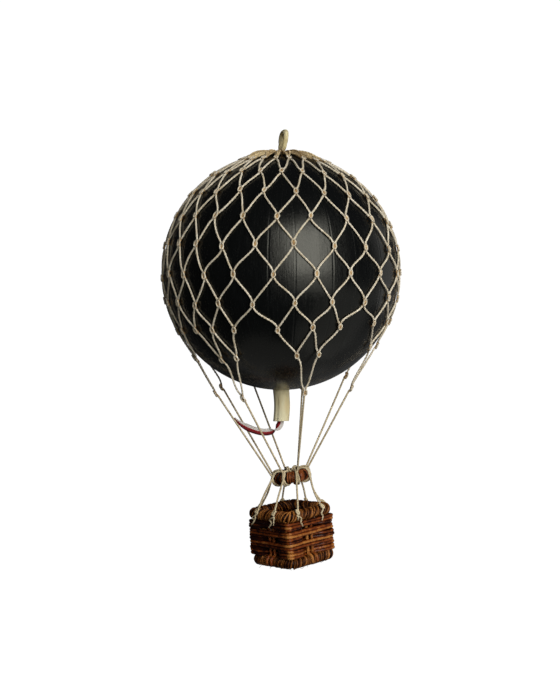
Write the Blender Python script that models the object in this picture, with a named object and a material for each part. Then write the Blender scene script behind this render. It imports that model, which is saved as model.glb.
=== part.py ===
"""Hanging model of a hot air balloon: a black shell in a knotted cord net, with a wicker basket below it.

Metres, +Z up. The origin is the hang point, where a hook bears inside the loop on the crown.
The basket's faces look along X and Y. SIDEWAYS is the level direction in which the crown and the
basket hang a little off centre, and FORWARD the level direction square to it.
"""

import math

import bmesh
import bpy
from mathutils import Matrix, Vector

GAP = 0.0003

# Envelope: a thin round shell with a mouth at the bottom for the throat
ENVELOPE_RADIUS = 0.090
ENVELOPE_WALL = 0.0015
ENVELOPE_STEPS = 44
THROAT_STEPS = 16
OUTER_ARCS = 20
INNER_ARCS = 8

# Hang loop on the crown, a closed link of thick cord
EYE_HEIGHT = 0.1042
LOOP_CORD = 0.0040
LOOP_HALF_WIDTH = 0.0052
LOOP_STRAIGHT = 0.0045
LOOP_BOTTOM_DEPTH = 0.0042
LOOP_HEADING = math.radians(156.5)

# Directions and the small angles at which the handmade pieces hang
HEADING = math.radians(48.3)
SIDEWAYS = Vector((math.cos(HEADING), math.sin(HEADING), 0))
FORWARD = Vector((math.sin(HEADING), -math.cos(HEADING), 0))
UP = Vector((0, 0, 1))
NET_LEAN = math.radians(1.5)
RING_ROLL = math.radians(9.5)
BASKET_ROLL = math.radians(4.5)

# Net: rows of knots from the crown down, in degrees of latitude, staggered by half a column. The
# tilts are how far each row hangs lower on one side and higher on the other, in degrees
COLUMNS = 21
ROW_LATITUDES = (68.5, 53.3, 39.4, 25.9, 12.4, -0.7, -13.3, -26.2)
ROW_TILTS = (0.0, 0.0, 0.0, 0.0, 0.3, 1.8, 2.4, 3.6)
FIRST_COLUMN = math.radians(-2.2)
COLUMN_DRIFT = math.radians(8.6)
NET_CORD = 0.0017
NET_CLEARANCE = 0.00025
NET_INNER = ENVELOPE_RADIUS + GAP + NET_CLEARANCE
KNOT_WIDTH = 0.0032
KNOT_HEIGHT = 0.0044
CROWN_INNER = 0.0056
CROWN_OUTER = 0.0076
CROWN_LEG_WIDTH = 0.0027
GROUP_PULL = 0.90
HANG_LATITUDE = math.radians(-30.0)
LEG_BEND = math.radians(9.0)
LOW_KNOT_DROP = 0.0600
LOW_KNOT_TILT = 0.0052

# Throat: a sleeve in the envelope's mouth, with a recess that the ribbon leaves
THROAT_RADIUS = 0.0064
THROAT_LENGTH = 0.0240
THROAT_WALL = 0.0012
THROAT_RECESS = 0.0030
THROAT_INSERT = 0.0040
MOUTH_RADIUS = THROAT_RADIUS + GAP

# Load ring, below the envelope's centre and a little to the side
RING_MAJOR = 0.0102
RING_MINOR = 0.0047
RING_SIDES = 10
RING_STEPS = 20
RING_DROP = 0.1568
RING_OFFSET = 0.0078

# Rigging lines: each runs from the net's foot, once round the ring, and over the basket's rim
LINE_RADIUS = 0.00075
TURN_RADIUS = RING_MINOR + LINE_RADIUS + 0.0005
TURN_POINTS = 12
TURN_SHIFT = 0.0022
RIM_REACH_GAP = 0.0004
RIM_AIM = math.radians(37.0)
RIM_WRAP_END = math.radians(-25.0)
TAIL_LENGTH = 0.0050
FOOT_GAP = 0.0008

# Basket, from its bottom
BASKET_DROP = 0.2241
BASKET_OFFSET = 0.0098
BASKET_HEIGHT = 0.0442
RIM_SECTION = 0.0043
RIM_HALF = 0.0208
BORDER_SECTION = 0.0041
BORDER_HALF = 0.0204
RING_CORNER = 0.0052
POST_RADIUS = 0.0011
POST_HALF = 0.01985
STAKE_HALF = 0.0203
STAKE_SPACING = 0.0047
ROD_RADIUS = 0.00097
ROD_CORNER = 0.0040
WEAVE_OFFSET = POST_RADIUS + ROD_RADIUS + GAP
WEAVE_NEAR = 0.0042
WEAVE_FAR = 0.0125
# the woven rods in bands from the lowest up: how many, and whether they pass behind the stakes
WEAVE_BANDS = ((3, True), (2, False), (2, True), (2, False), (1, True), (2, False))
FLOOR_THICKNESS = 0.0022
FLOOR_CORNER = 0.0012

# Ribbon: a flat tape from the throat to one line
RIBBON_WIDTH = 0.0055
RIBBON_THICKNESS = 0.0006
RIBBON_POINTS = 18
RIBBON_START_GAP = 0.0008
RIBBON_END_GAP = 0.0012
RIBBON_TURN_START = 0.22
RIBBON_TURN_SHARE = 0.26
RIBBON_TAPER_START = 0.72
RIBBON_TAPER = 0.75

# One row for each line, clockwise from the front: columns of the net that it gathers, drop of its
# foot knot, azimuth on the load ring in degrees, and its place on the rim: the side's outward
# direction and the distance from that side's middle, along X or Y
LINES = (
    ("front_right", 3, 0.0890, 22.5, (1, 0), -0.0145),
    ("right_front", 3, 0.0870, 67.5, (1, 0), 0.0112),
    ("right_back", 2, 0.0810, 112.5, (0, 1), 0.0115),
    ("back_right", 3, 0.0915, 157.5, (0, 1), -0.0065),
    ("back_left", 2, 0.0880, 193.0, (-1, 0), 0.0148),
    ("left_back", 2, 0.0885, 247.5, (-1, 0), -0.0080),
    ("left_front", 3, 0.0935, 292.5, (0, -1), -0.0090),
    ("front_left", 3, 0.0940, 337.5, (0, -1), 0.0105),
)
RIBBON_LINE = "left_front"

# Everything below is placed from the envelope's centre
ENVELOPE_CENTRE = -EYE_HEIGHT * (SIDEWAYS * math.sin(NET_LEAN) + UP * math.cos(NET_LEAN))
LEAN = Matrix.Rotation(-NET_LEAN, 3, FORWARD)
RING_FRAME = Matrix.Translation(SIDEWAYS * RING_OFFSET - UP * RING_DROP) @ Matrix.Rotation(
    RING_ROLL, 4, FORWARD
)
BASKET_FRAME = Matrix.Translation(SIDEWAYS * BASKET_OFFSET - UP * BASKET_DROP) @ Matrix.Rotation(
    BASKET_ROLL, 4, FORWARD
)


def clear_scene():
    for obj in list(bpy.data.objects):
        bpy.data.objects.remove(obj, do_unlink=True)


def make_material(name, colour, roughness, metallic=0.0):
    material = bpy.data.materials.new(name)
    material.use_nodes = True
    shader = material.node_tree.nodes["Principled BSDF"]
    shader.inputs["Base Color"].default_value = (*colour, 1)
    shader.inputs["Roughness"].default_value = roughness
    shader.inputs["Metallic"].default_value = metallic
    return material


def add_object(name, data, material, parent):
    obj = bpy.data.objects.new(name, data)
    obj.parent = parent
    if data is not None:
        data.materials.append(material)
    bpy.context.scene.collection.objects.link(obj)
    return obj


def add_empty(name, matrix, parent=None):
    empty = bpy.data.objects.new(name, None)
    empty.parent = parent
    empty.matrix_local = matrix
    bpy.context.scene.collection.objects.link(empty)
    return empty


def add_bmesh(name, bm, material, parent, smooth_angle=None):
    mesh = bpy.data.meshes.new(name)
    bm.to_mesh(mesh)
    bm.free()
    if smooth_angle is not None:
        mesh.shade_smooth()
        mesh.set_sharp_from_angle(angle=smooth_angle)
    return add_object(name, mesh, material, parent)


def add_tube(name, points, radius, material, parent, cyclic=False, resolution=1):
    """A round bar along points, with 4 sides and 2 more for each step of resolution."""
    curve = bpy.data.curves.new(name, "CURVE")
    curve.dimensions = "3D"
    curve.bevel_depth = radius
    curve.bevel_resolution = resolution
    curve.use_fill_caps = True
    spline = curve.splines.new("POLY")
    spline.points.add(len(points) - 1)
    for place, point in zip(spline.points, points):
        place.co = (*point, 1)
    spline.use_cyclic_u = cyclic
    return add_object(name, curve, material, parent)


def add_turned(name, profile, steps, material, parent, closed):
    """A round piece turned about Z from (radius, height) points, joined end to end if closed."""
    bm = bmesh.new()
    points = [bm.verts.new((radius, 0, height)) for radius, height in profile]
    edges = [bm.edges.new(pair) for pair in zip(points, points[1:])]
    if closed:
        edges.append(bm.edges.new((points[-1], points[0])))
    bmesh.ops.spin(
        bm,
        geom=points + edges,
        cent=(0, 0, 0),
        axis=(0, 0, 1),
        angle=2 * math.pi,
        steps=steps,
        use_merge=True,
    )
    bmesh.ops.remove_doubles(bm, verts=bm.verts, dist=1e-6)
    bmesh.ops.recalc_face_normals(bm, faces=bm.faces)
    return add_bmesh(name, bm, material, parent, math.radians(40))


def arc(radius, start, end, steps):
    """(radius, height) points on a circle round the centre, by angle from straight down."""
    angles = [start + (end - start) * step / steps for step in range(steps + 1)]
    return [(radius * math.sin(angle), -radius * math.cos(angle)) for angle in angles]


def rounded_square(half, corner, height, corner_steps=2):
    """Points of a level square ring with round corners."""
    points = []
    for quarter in range(4):
        turn = Matrix.Rotation(quarter * math.pi / 2, 3, "Z")
        centre = Vector((half - corner, half - corner, 0))
        for step in range(corner_steps + 1):
            angle = math.pi / 2 * step / corner_steps
            reach = Vector((math.cos(angle), math.sin(angle), 0)) * corner
            points.append(turn @ (centre + reach) + UP * height)
    return points


def build_envelope(material, parent):
    outer = arc(ENVELOPE_RADIUS, math.asin(MOUTH_RADIUS / ENVELOPE_RADIUS), math.pi, OUTER_ARCS)
    inside = ENVELOPE_RADIUS - ENVELOPE_WALL
    inner = arc(inside, math.pi, math.asin(MOUTH_RADIUS / inside), INNER_ARCS)
    outer[-1] = (0, ENVELOPE_RADIUS)
    inner[0] = (0, inside)
    bm = bmesh.new()
    for profile in (outer, inner):
        points = [bm.verts.new((radius, 0, height)) for radius, height in profile]
        edges = [bm.edges.new(pair) for pair in zip(points, points[1:])]
        bmesh.ops.spin(
            bm,
            geom=points + edges,
            cent=(0, 0, 0),
            axis=(0, 0, 1),
            angle=2 * math.pi,
            steps=ENVELOPE_STEPS,
            use_merge=True,
        )
    bmesh.ops.remove_doubles(bm, verts=bm.verts, dist=1e-6)
    bmesh.ops.bridge_loops(bm, edges=[edge for edge in bm.edges if edge.is_boundary])
    bmesh.ops.recalc_face_normals(bm, faces=bm.faces)
    add_bmesh("envelope", bm, material, parent, math.radians(40))


def build_throat(material, parent):
    top = -ENVELOPE_RADIUS + THROAT_INSERT
    mouth = -ENVELOPE_RADIUS - THROAT_LENGTH
    bore = THROAT_RADIUS - THROAT_WALL
    ceiling = mouth + THROAT_RECESS
    profile = [
        (0, top),
        (THROAT_RADIUS, top),
        (THROAT_RADIUS, mouth),
        (bore, mouth),
        (bore, ceiling),
        (0, ceiling),
    ]
    add_turned("throat", profile, THROAT_STEPS, material, parent, closed=False)


def build_hang_loop(material, parent):
    """A closed link whose round top hangs on the hook, standing on the crown inside the net."""
    across = Vector((math.cos(LOOP_HEADING), math.sin(LOOP_HEADING), 0))
    top_centre = EYE_HEIGHT + LOOP_CORD / 2 - LOOP_HALF_WIDTH
    arc_steps = 8
    points = []
    for step in range(arc_steps + 1):
        angle = math.pi * step / arc_steps
        points.append((math.cos(angle), top_centre + LOOP_HALF_WIDTH * math.sin(angle)))
    for step in range(arc_steps + 1):
        angle = math.pi * (1 + step / arc_steps)
        low = top_centre - LOOP_STRAIGHT + LOOP_BOTTOM_DEPTH * math.sin(angle)
        points.append((math.cos(angle), low))
    link = [LEAN @ (across * LOOP_HALF_WIDTH * side + UP * height) for side, height in points]
    add_tube("hang_loop", link, LOOP_CORD / 2, material, parent, cyclic=True, resolution=2)


def level(azimuth):
    """The level direction at an azimuth that grows clockwise seen from below."""
    return FORWARD * math.cos(azimuth) + SIDEWAYS * math.sin(azimuth)


def column_azimuth(column):
    """Azimuth of a column, drawn together on one side as the handmade net is."""
    azimuth = FIRST_COLUMN + column * 2 * math.pi / COLUMNS
    return azimuth + COLUMN_DRIFT * (1 - math.cos(azimuth))


class Knot:
    """A diamond of net at a point, with its corners in the plane of the net there."""

    def __init__(self, bm, centre, east, north):
        self.centre = centre
        self.out = east.cross(north).normalized()
        self.west = bm.verts.new(centre - east * KNOT_WIDTH / 2)
        self.south = bm.verts.new(centre - north * KNOT_HEIGHT / 2)
        self.east = bm.verts.new(centre + east * KNOT_WIDTH / 2)
        self.north = bm.verts.new(centre + north * KNOT_HEIGHT / 2)


def knot_on_envelope(bm, azimuth, latitude):
    east = LEAN @ level(azimuth + math.pi / 2)
    out = LEAN @ (level(azimuth) * math.cos(latitude) + UP * math.sin(latitude))
    return Knot(bm, out * NET_INNER, east, out.cross(east))


def strip(bm, top, bottom, out, width):
    """A band of faces between two (left, right) pairs of corners, bent over the envelope."""
    start = (top[0].co + top[1].co) / 2
    end = (bottom[0].co + bottom[1].co) / 2
    pieces = max(1, math.ceil(start.angle(end) / LEG_BEND))
    right = out.cross(end - start).normalized()
    pairs = [top]
    for piece in range(1, pieces):
        middle = start.lerp(end, piece / pieces)
        middle *= max(1.0, NET_INNER / middle.length)
        pairs.append([bm.verts.new(middle + right * side * width / 2) for side in (-1, 1)])
    pairs.append(bottom)
    for upper, lower in zip(pairs, pairs[1:]):
        bm.faces.new((upper[0], lower[0], lower[1], upper[1]))


def leg_down_left(bm, upper, lower):
    strip(bm, (upper.west, upper.south), (lower.north, lower.east), upper.out + lower.out, NET_CORD)


def leg_down_right(bm, upper, lower):
    strip(bm, (upper.south, upper.east), (lower.west, lower.north), upper.out + lower.out, NET_CORD)


def crown_ring(bm, shift):
    """The flat collar that gathers the net round the hang loop, with two corners to each knot."""
    rings = []
    for radius in (CROWN_INNER, CROWN_OUTER):
        latitude = math.acos(radius / NET_INNER)
        directions = [
            level(column_azimuth(column + shift - 0.5)) * math.cos(latitude)
            + UP * math.sin(latitude)
            for column in range(COLUMNS)
        ]
        rings.append([bm.verts.new(LEAN @ direction * NET_INNER) for direction in directions])
    inner, outer = rings
    for column in range(COLUMNS):
        after = (column + 1) % COLUMNS
        bm.faces.new((inner[column], outer[column], outer[after], inner[after]))
    return outer


def group_columns():
    """The columns that each line gathers, as lists of column numbers in the lowest row."""
    columns = []
    first = 0
    for _, size, *_ in LINES:
        columns.append(list(range(first, first + size)))
        first += size
    return columns


def row_knots(bm, row):
    """The knots of one full row. In the lowest row each group is drawn towards its middle."""
    stagger = 0.5 * (len(ROW_LATITUDES) - 1 - row)
    shift = stagger - math.floor(stagger)
    azimuths = [column_azimuth(column + shift) for column in range(COLUMNS)]
    if row == len(ROW_LATITUDES) - 1:
        for columns in group_columns():
            middle = sum(azimuths[column] for column in columns) / len(columns)
            for column in columns:
                azimuths[column] = middle + (azimuths[column] - middle) * GROUP_PULL
    knots = []
    for azimuth in azimuths:
        latitude = math.radians(ROW_LATITUDES[row] + ROW_TILTS[row] * math.sin(azimuth))
        knots.append(knot_on_envelope(bm, azimuth, latitude))
    return knots, shift


def foot_places():
    """For each line, the azimuth of its group and the place of its foot knot."""
    places = {}
    for (name, _, drop, ring_azimuth, *_), columns in zip(LINES, group_columns()):
        azimuths = [column_azimuth(column) for column in columns]
        azimuth = sum(azimuths) / len(azimuths)
        out = level(azimuth) * math.cos(HANG_LATITUDE) + UP * math.sin(HANG_LATITUDE)
        leaves = LEAN @ out * NET_INNER
        tie = RING_FRAME @ (level(math.radians(ring_azimuth)) * (RING_MAJOR + TURN_RADIUS))
        share = (leaves.z + drop) / (leaves.z - tie.z)
        places[name] = (azimuth, leaves, leaves.lerp(tie, share), tie)
    return places


def low_knots(bm, name, size, places):
    """The knots between the lowest row and the foot: two in a group of three, else one."""
    azimuth, _, foot, tie = places[name]
    half_column = math.pi / COLUMNS
    offsets = (-half_column, half_column) if size == 3 else (0.0,)
    knots = []
    for offset in offsets:
        out = level(azimuth + offset) * math.cos(HANG_LATITUDE) + UP * math.sin(HANG_LATITUDE)
        leaves = LEAN @ out * NET_INNER
        drop = LOW_KNOT_DROP - LOW_KNOT_TILT * math.sin(azimuth + offset)
        share = (leaves.z + drop) / (leaves.z - foot.z)
        centre = leaves.lerp(foot, share)
        centre *= max(1.0, (NET_INNER + NET_CLEARANCE) / centre.length)
        north = (leaves - tie).normalized()
        east = level(azimuth + offset + math.pi / 2)
        east = (east - north * east.dot(north)).normalized()
        knots.append(Knot(bm, centre, east, north))
    return knots


def build_net(material, parent):
    """Knots and legs as one sheet of faces on the envelope, thickened outwards to cord size."""
    bm = bmesh.new()
    rows = [row_knots(bm, row) for row in range(len(ROW_LATITUDES))]
    top_knots, top_shift = rows[0]
    corners = crown_ring(bm, top_shift)
    for column, knot in enumerate(top_knots):
        bm.faces.new((knot.west, knot.south, knot.east))
        pair = (corners[column], corners[(column + 1) % COLUMNS])
        strip(bm, pair, (knot.west, knot.east), knot.out, CROWN_LEG_WIDTH)
        bm.verts.remove(knot.north)
    for knots, _ in rows[1:]:
        for knot in knots:
            bm.faces.new((knot.west, knot.south, knot.east, knot.north))
    for (upper, shift), (lower, _) in zip(rows, rows[1:]):
        for column, knot in enumerate(upper):
            left = lower[column] if shift else lower[column - 1]
            right = lower[(column + 1) % COLUMNS] if shift else lower[column]
            leg_down_left(bm, knot, left)
            leg_down_right(bm, knot, right)
    places = foot_places()
    lowest = rows[-1][0]
    for (name, size, *_), columns in zip(LINES, group_columns()):
        _, leaves, foot, tie = places[name]
        low = low_knots(bm, name, size, places)
        north = (leaves - tie).normalized()
        east = level(places[name][0] + math.pi / 2)
        east = (east - north * east.dot(north)).normalized()
        foot_knot = Knot(bm, foot, east, north)
        for knot in [*low, foot_knot]:
            bm.faces.new((knot.west, knot.south, knot.east, knot.north))
        for number, knot in enumerate(low):
            leg_down_right(bm, lowest[columns[number]], knot)
            leg_down_left(bm, lowest[columns[number + 1]], knot)
        leg_down_right(bm, low[0], foot_knot)
        if len(low) == 2:
            leg_down_left(bm, low[1], foot_knot)
    net = add_bmesh("net", bm, material, parent)
    thicken = net.modifiers.new("cord", "SOLIDIFY")
    thicken.thickness = NET_CORD
    thicken.offset = 1.0


def build_load_ring(material, parent):
    profile = []
    for side in range(RING_SIDES):
        angle = 2 * math.pi * side / RING_SIDES
        profile.append(
            (RING_MAJOR + RING_MINOR * math.cos(angle), RING_MINOR * math.sin(angle))
        )
    frame = add_empty("load_ring_frame", RING_FRAME, parent)
    add_turned("load_ring", profile, RING_STEPS, material, frame, closed=True)


def tangent_angle(point, centre, radius, side):
    """Where a line from a point in a (radial, up) plane touches a circle, as an angle."""
    away = point - centre
    return math.atan2(away.y, away.x) + side * math.acos(radius / away.length)


def line_route(foot, tie_azimuth, rim_side, rim_along):
    """From below the foot knot, a full turn round the load ring, then down over the rim."""
    azimuth = math.radians(tie_azimuth)
    ring = RING_FRAME.to_3x3()
    outward = ring @ level(azimuth)
    along = ring @ level(azimuth + math.pi / 2)
    up = ring @ UP
    ring_centre = RING_FRAME.translation + outward * RING_MAJOR
    basket = BASKET_FRAME.to_3x3()
    rim_out = basket @ Vector((*rim_side, 0))
    rim_line = basket @ Vector((abs(rim_side[1]), abs(rim_side[0]), 0))
    rim_up = basket @ UP
    rim_centre = (
        BASKET_FRAME.translation
        + rim_out * RIM_HALF
        + rim_line * rim_along
        + rim_up * (BASKET_HEIGHT - RIM_SECTION)
    )
    rim_reach = RIM_SECTION + LINE_RADIUS + RIM_REACH_GAP

    def in_ring_plane(point):
        return Vector(((point - ring_centre).dot(outward), (point - ring_centre).dot(up)))

    # the turn steps from the side that the line comes from to the side that it leaves by
    leaves_forward = (rim_centre - ring_centre).dot(along) > (foot - ring_centre).dot(along)
    step_along = along * (TURN_SHIFT if leaves_forward else -TURN_SHIFT)
    rim_top = rim_centre + (rim_out * math.cos(RIM_AIM) + rim_up * math.sin(RIM_AIM)) * rim_reach
    origin = Vector((0, 0))
    start = tangent_angle(in_ring_plane(foot), origin, TURN_RADIUS, -1)
    end = tangent_angle(in_ring_plane(rim_top), origin, TURN_RADIUS, 1) - 2 * math.pi
    turn = []
    for step in range(TURN_POINTS + 1):
        share = step / TURN_POINTS
        angle = start + (end - start) * share
        turn.append(
            ring_centre
            + (outward * math.cos(angle) + up * math.sin(angle)) * TURN_RADIUS
            + step_along * (share - 0.5)
        )
    leaving = turn[-1] - rim_centre
    from_ring = Vector((leaving.dot(rim_out), leaving.dot(rim_up)))
    first = tangent_angle(from_ring, origin, rim_reach, -1)
    over = []
    for share in (0.0, 0.5, 1.0):
        angle = first + (RIM_WRAP_END - first) * share
        over.append(rim_centre + (rim_out * math.cos(angle) + rim_up * math.sin(angle)) * rim_reach)
    tail = over[-1] - UP * TAIL_LENGTH
    down = (turn[0] - foot).normalized()
    begin = foot + down * (KNOT_HEIGHT / 2 + FOOT_GAP)
    return [begin, *turn, *over, tail]


def line_routes():
    places = foot_places()
    routes = {}
    for name, _, _, ring_azimuth, rim_side, rim_along in LINES:
        foot = places[name][2] + level(places[name][0]) * NET_CORD / 2
        routes[name] = line_route(foot, ring_azimuth, rim_side, rim_along)
    return routes


def build_lines(material, parent):
    for name, route in line_routes().items():
        add_tube(f"rigging_line_{name}", route, LINE_RADIUS, material, parent)


def ribbon_route():
    """Centreline of the ribbon: out of the throat, down in a curve, and up to its line."""
    begin, first = line_routes()[RIBBON_LINE][:2]
    tied = -0.1108
    held = begin.lerp(first, (begin.z - tied) / (begin.z - first.z))
    start = -(ENVELOPE_RADIUS + THROAT_LENGTH - THROAT_RECESS + RIBBON_START_GAP)
    # sideways and up from the envelope's centre
    shape = (
        (-0.0002, start),
        (-0.0002, -0.1136),
        (-0.0010, -0.1170),
        (-0.0038, -0.1202),
        (-0.0086, -0.1221),
        (-0.0147, -0.1222),
        (-0.0214, -0.1204),
        (-0.0276, -0.1175),
        (-0.0326, -0.1140),
    )
    last = held.dot(SIDEWAYS) + LINE_RADIUS + RIBBON_END_GAP
    depth = held.dot(FORWARD)
    points = [Vector((side, 0, height)) for side, height in shape]
    points.append(Vector((last, depth, tied)))
    for number, point in enumerate(points):
        point.y = depth * number / (len(points) - 1)
    return [SIDEWAYS * p.x + FORWARD * p.y + UP * p.z for p in smooth(points, RIBBON_POINTS)]


def smooth(points, count):
    """Points spaced by number along a smooth curve through the given ones."""
    ends = [2 * points[0] - points[1], *points, 2 * points[-1] - points[-2]]
    result = []
    for number in range(count):
        place = number / (count - 1) * (len(points) - 1)
        span = min(int(place), len(points) - 2)
        t = place - span
        a, b, c, d = ends[span : span + 4]
        result.append(
            0.5
            * (
                2 * b
                + (c - a) * t
                + (2 * a - 5 * b + 4 * c - d) * t**2
                + (3 * b - a - 3 * c + d) * t**3
            )
        )
    return result


def ease(value):
    value = min(max(value, 0.0), 1.0)
    return value * value * (3 - 2 * value)


def build_ribbon(material, parent):
    """A flat tape that turns over once below the throat and is gathered at its tied end."""
    route = ribbon_route()
    bm = bmesh.new()
    pairs = []
    for number, point in enumerate(route):
        before = route[max(number - 1, 0)]
        after = route[min(number + 1, len(route) - 1)]
        share = number / (len(route) - 1)
        normal = FORWARD.cross((after - before).normalized())
        twist = math.pi * ease((share - RIBBON_TURN_START) / RIBBON_TURN_SHARE)
        across = normal * math.cos(twist) + FORWARD * math.sin(twist)
        taper = ease((share - RIBBON_TAPER_START) / (1 - RIBBON_TAPER_START))
        half = RIBBON_WIDTH / 2 * (1 - RIBBON_TAPER * taper)
        pairs.append([bm.verts.new(point + across * side * half) for side in (-1, 1)])
    for upper, lower in zip(pairs, pairs[1:]):
        bm.faces.new((upper[0], lower[0], lower[1], upper[1]))
    ribbon = add_bmesh("ribbon", bm, material, parent)
    thicken = ribbon.modifiers.new("tape", "SOLIDIFY")
    thicken.thickness = RIBBON_THICKNESS
    thicken.offset = 0.0


def weaver_points(height, behind_stakes):
    """A rod that passes outside the corner posts, and outside or inside the middle stakes."""
    outside = STAKE_HALF + WEAVE_OFFSET
    if not behind_stakes:
        return rounded_square(outside, ROD_CORNER, height)
    inside = STAKE_HALF - WEAVE_OFFSET
    middle = (WEAVE_NEAR + WEAVE_FAR) / 2
    dip = [
        (WEAVE_FAR, outside),
        (middle, (outside + inside) / 2),
        (WEAVE_NEAR, inside),
        (-WEAVE_NEAR, inside),
        (-middle, (outside + inside) / 2),
        (-WEAVE_FAR, outside),
    ]
    corners = rounded_square(outside, ROD_CORNER, height)
    points = []
    for quarter in range(4):
        turn = Matrix.Rotation(quarter * math.pi / 2, 3, "Z")
        points += corners[3 * quarter : 3 * quarter + 3]
        points += [turn @ Vector((along, reach, height)) for along, reach in dip]
    return points


def add_stake(name, place, material, parent):
    low = 2 * BORDER_SECTION + GAP
    high = BASKET_HEIGHT - 2 * RIM_SECTION - GAP
    bm = bmesh.new()
    bmesh.ops.create_cone(
        bm,
        cap_ends=True,
        segments=8,
        radius1=POST_RADIUS,
        radius2=POST_RADIUS,
        depth=high - low,
    )
    stake = add_bmesh(name, bm, material, parent, math.radians(60))
    stake.location = (place[0], place[1], (low + high) / 2)


def build_stakes(material, frame):
    for quarter in range(4):
        turn = Matrix.Rotation(quarter * math.pi / 2, 3, "Z")
        place = turn @ Vector((POST_HALF, POST_HALF, 0))
        add_stake(f"basket_corner_post_{quarter + 1}", place, material, frame)
        for number, side in enumerate((-1, 1)):
            place = turn @ Vector((side * STAKE_SPACING / 2, STAKE_HALF, 0))
            add_stake(f"basket_stake_{2 * quarter + number + 1}", place, material, frame)


def build_weavers(material, frame):
    low = 2 * BORDER_SECTION + GAP + ROD_RADIUS
    high = BASKET_HEIGHT - 2 * RIM_SECTION - GAP - ROD_RADIUS
    rods = [behind for count, behind in WEAVE_BANDS for _ in range(count)]
    for rod, behind_stakes in enumerate(rods):
        height = low + (high - low) * rod / (len(rods) - 1)
        points = weaver_points(height, behind_stakes)
        add_tube(f"basket_weaver_{rod + 1:02d}", points, ROD_RADIUS, material, frame, cyclic=True)


def build_floor(material, frame):
    half = BORDER_HALF - BORDER_SECTION - GAP
    bm = bmesh.new()
    bmesh.ops.create_cube(bm, size=1)
    bmesh.ops.scale(bm, vec=(2 * half, 2 * half, FLOOR_THICKNESS), verts=bm.verts)
    upright = [edge for edge in bm.edges if abs((edge.verts[0].co - edge.verts[1].co).z) > 1e-5]
    bmesh.ops.bevel(
        bm,
        geom=upright,
        offset=FLOOR_CORNER,
        segments=2,
        profile=0.5,
        affect="EDGES",
        material=-1,
    )
    floor = add_bmesh("basket_floor", bm, material, frame)
    floor.location = (0, 0, BORDER_SECTION)


def build_basket(rod_material, wrap_material, parent):
    frame = add_empty("basket_frame", BASKET_FRAME, parent)
    rim = rounded_square(RIM_HALF, RING_CORNER, BASKET_HEIGHT - RIM_SECTION, corner_steps=3)
    add_tube("basket_rim", rim, RIM_SECTION, wrap_material, frame, cyclic=True, resolution=3)
    border = rounded_square(BORDER_HALF, RING_CORNER, BORDER_SECTION, corner_steps=3)
    add_tube(
        "basket_base_border", border, BORDER_SECTION, wrap_material, frame, cyclic=True, resolution=3
    )
    build_floor(rod_material, frame)
    build_stakes(rod_material, frame)
    build_weavers(rod_material, frame)


def main():
    clear_scene()
    black = make_material("black_shell", (0.012, 0.012, 0.013), 0.45)
    cord = make_material("beige_cord", (0.56, 0.43, 0.26), 0.85)
    felt = make_material("cream_sleeve", (0.60, 0.50, 0.30), 0.90)
    rattan = make_material("brown_rattan", (0.16, 0.055, 0.02), 0.45)
    dark_rattan = make_material("dark_rattan", (0.09, 0.035, 0.015), 0.50)
    tape = make_material("red_white_tape", (0.50, 0.12, 0.11), 0.60)
    centre = add_empty("envelope_centre", Matrix.Translation(ENVELOPE_CENTRE))
    build_envelope(black, centre)
    build_throat(felt, centre)
    build_hang_loop(cord, centre)
    build_net(cord, centre)
    build_load_ring(dark_rattan, centre)
    build_lines(cord, centre)
    build_ribbon(tape, centre)
    build_basket(rattan, dark_rattan, centre)


main()
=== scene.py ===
"""Looks of a hanging model of a hot air balloon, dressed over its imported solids.

Metres, +Z up. The script follows the model as it is put together, from the ball down to the basket.
"""

import math
import random

import bmesh
import bpy
from mathutils import Matrix, Vector


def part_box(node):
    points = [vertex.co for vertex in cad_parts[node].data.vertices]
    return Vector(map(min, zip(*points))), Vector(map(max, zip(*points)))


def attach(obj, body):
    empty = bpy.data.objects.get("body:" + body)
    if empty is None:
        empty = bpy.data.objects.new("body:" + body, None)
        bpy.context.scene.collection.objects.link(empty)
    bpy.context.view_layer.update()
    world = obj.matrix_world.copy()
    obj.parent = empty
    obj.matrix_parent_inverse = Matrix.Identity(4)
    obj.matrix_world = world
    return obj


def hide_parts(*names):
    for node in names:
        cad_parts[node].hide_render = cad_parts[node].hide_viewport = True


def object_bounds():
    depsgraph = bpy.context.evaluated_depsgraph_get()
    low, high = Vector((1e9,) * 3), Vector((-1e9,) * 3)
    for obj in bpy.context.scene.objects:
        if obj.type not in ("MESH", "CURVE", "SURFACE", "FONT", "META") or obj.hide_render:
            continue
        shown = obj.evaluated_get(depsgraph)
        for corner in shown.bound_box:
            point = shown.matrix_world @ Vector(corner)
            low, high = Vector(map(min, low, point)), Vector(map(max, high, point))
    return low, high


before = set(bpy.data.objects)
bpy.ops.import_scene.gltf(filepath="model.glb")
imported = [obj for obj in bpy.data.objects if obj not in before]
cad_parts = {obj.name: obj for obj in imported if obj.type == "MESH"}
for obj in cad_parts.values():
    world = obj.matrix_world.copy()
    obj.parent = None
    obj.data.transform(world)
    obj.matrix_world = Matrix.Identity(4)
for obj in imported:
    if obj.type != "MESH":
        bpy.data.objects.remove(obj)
cad_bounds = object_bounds()

# The room
# The model hangs high over a pale floor, inside a pale sweep that gives no light of its own. One large
# soft light stands to the right of the camera, which looks at the ball from the height of its middle.
HEADING = math.radians(48.3)
SIDEWAYS = Vector((math.cos(HEADING), math.sin(HEADING), 0))
FORWARD = Vector((math.sin(HEADING), -math.cos(HEADING), 0))
UP = Vector((0, 0, 1))
BALL_RADIUS = 0.090
CAMERA_DISTANCE = 1.03
CAMERA_LENS = 68.9
CAMERA_PITCH = math.radians(3.3)
CAMERA_YAW = math.radians(0.045)
FLOOR_DROP = 0.95
SWEEP_RADIUS = 7.0

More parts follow.
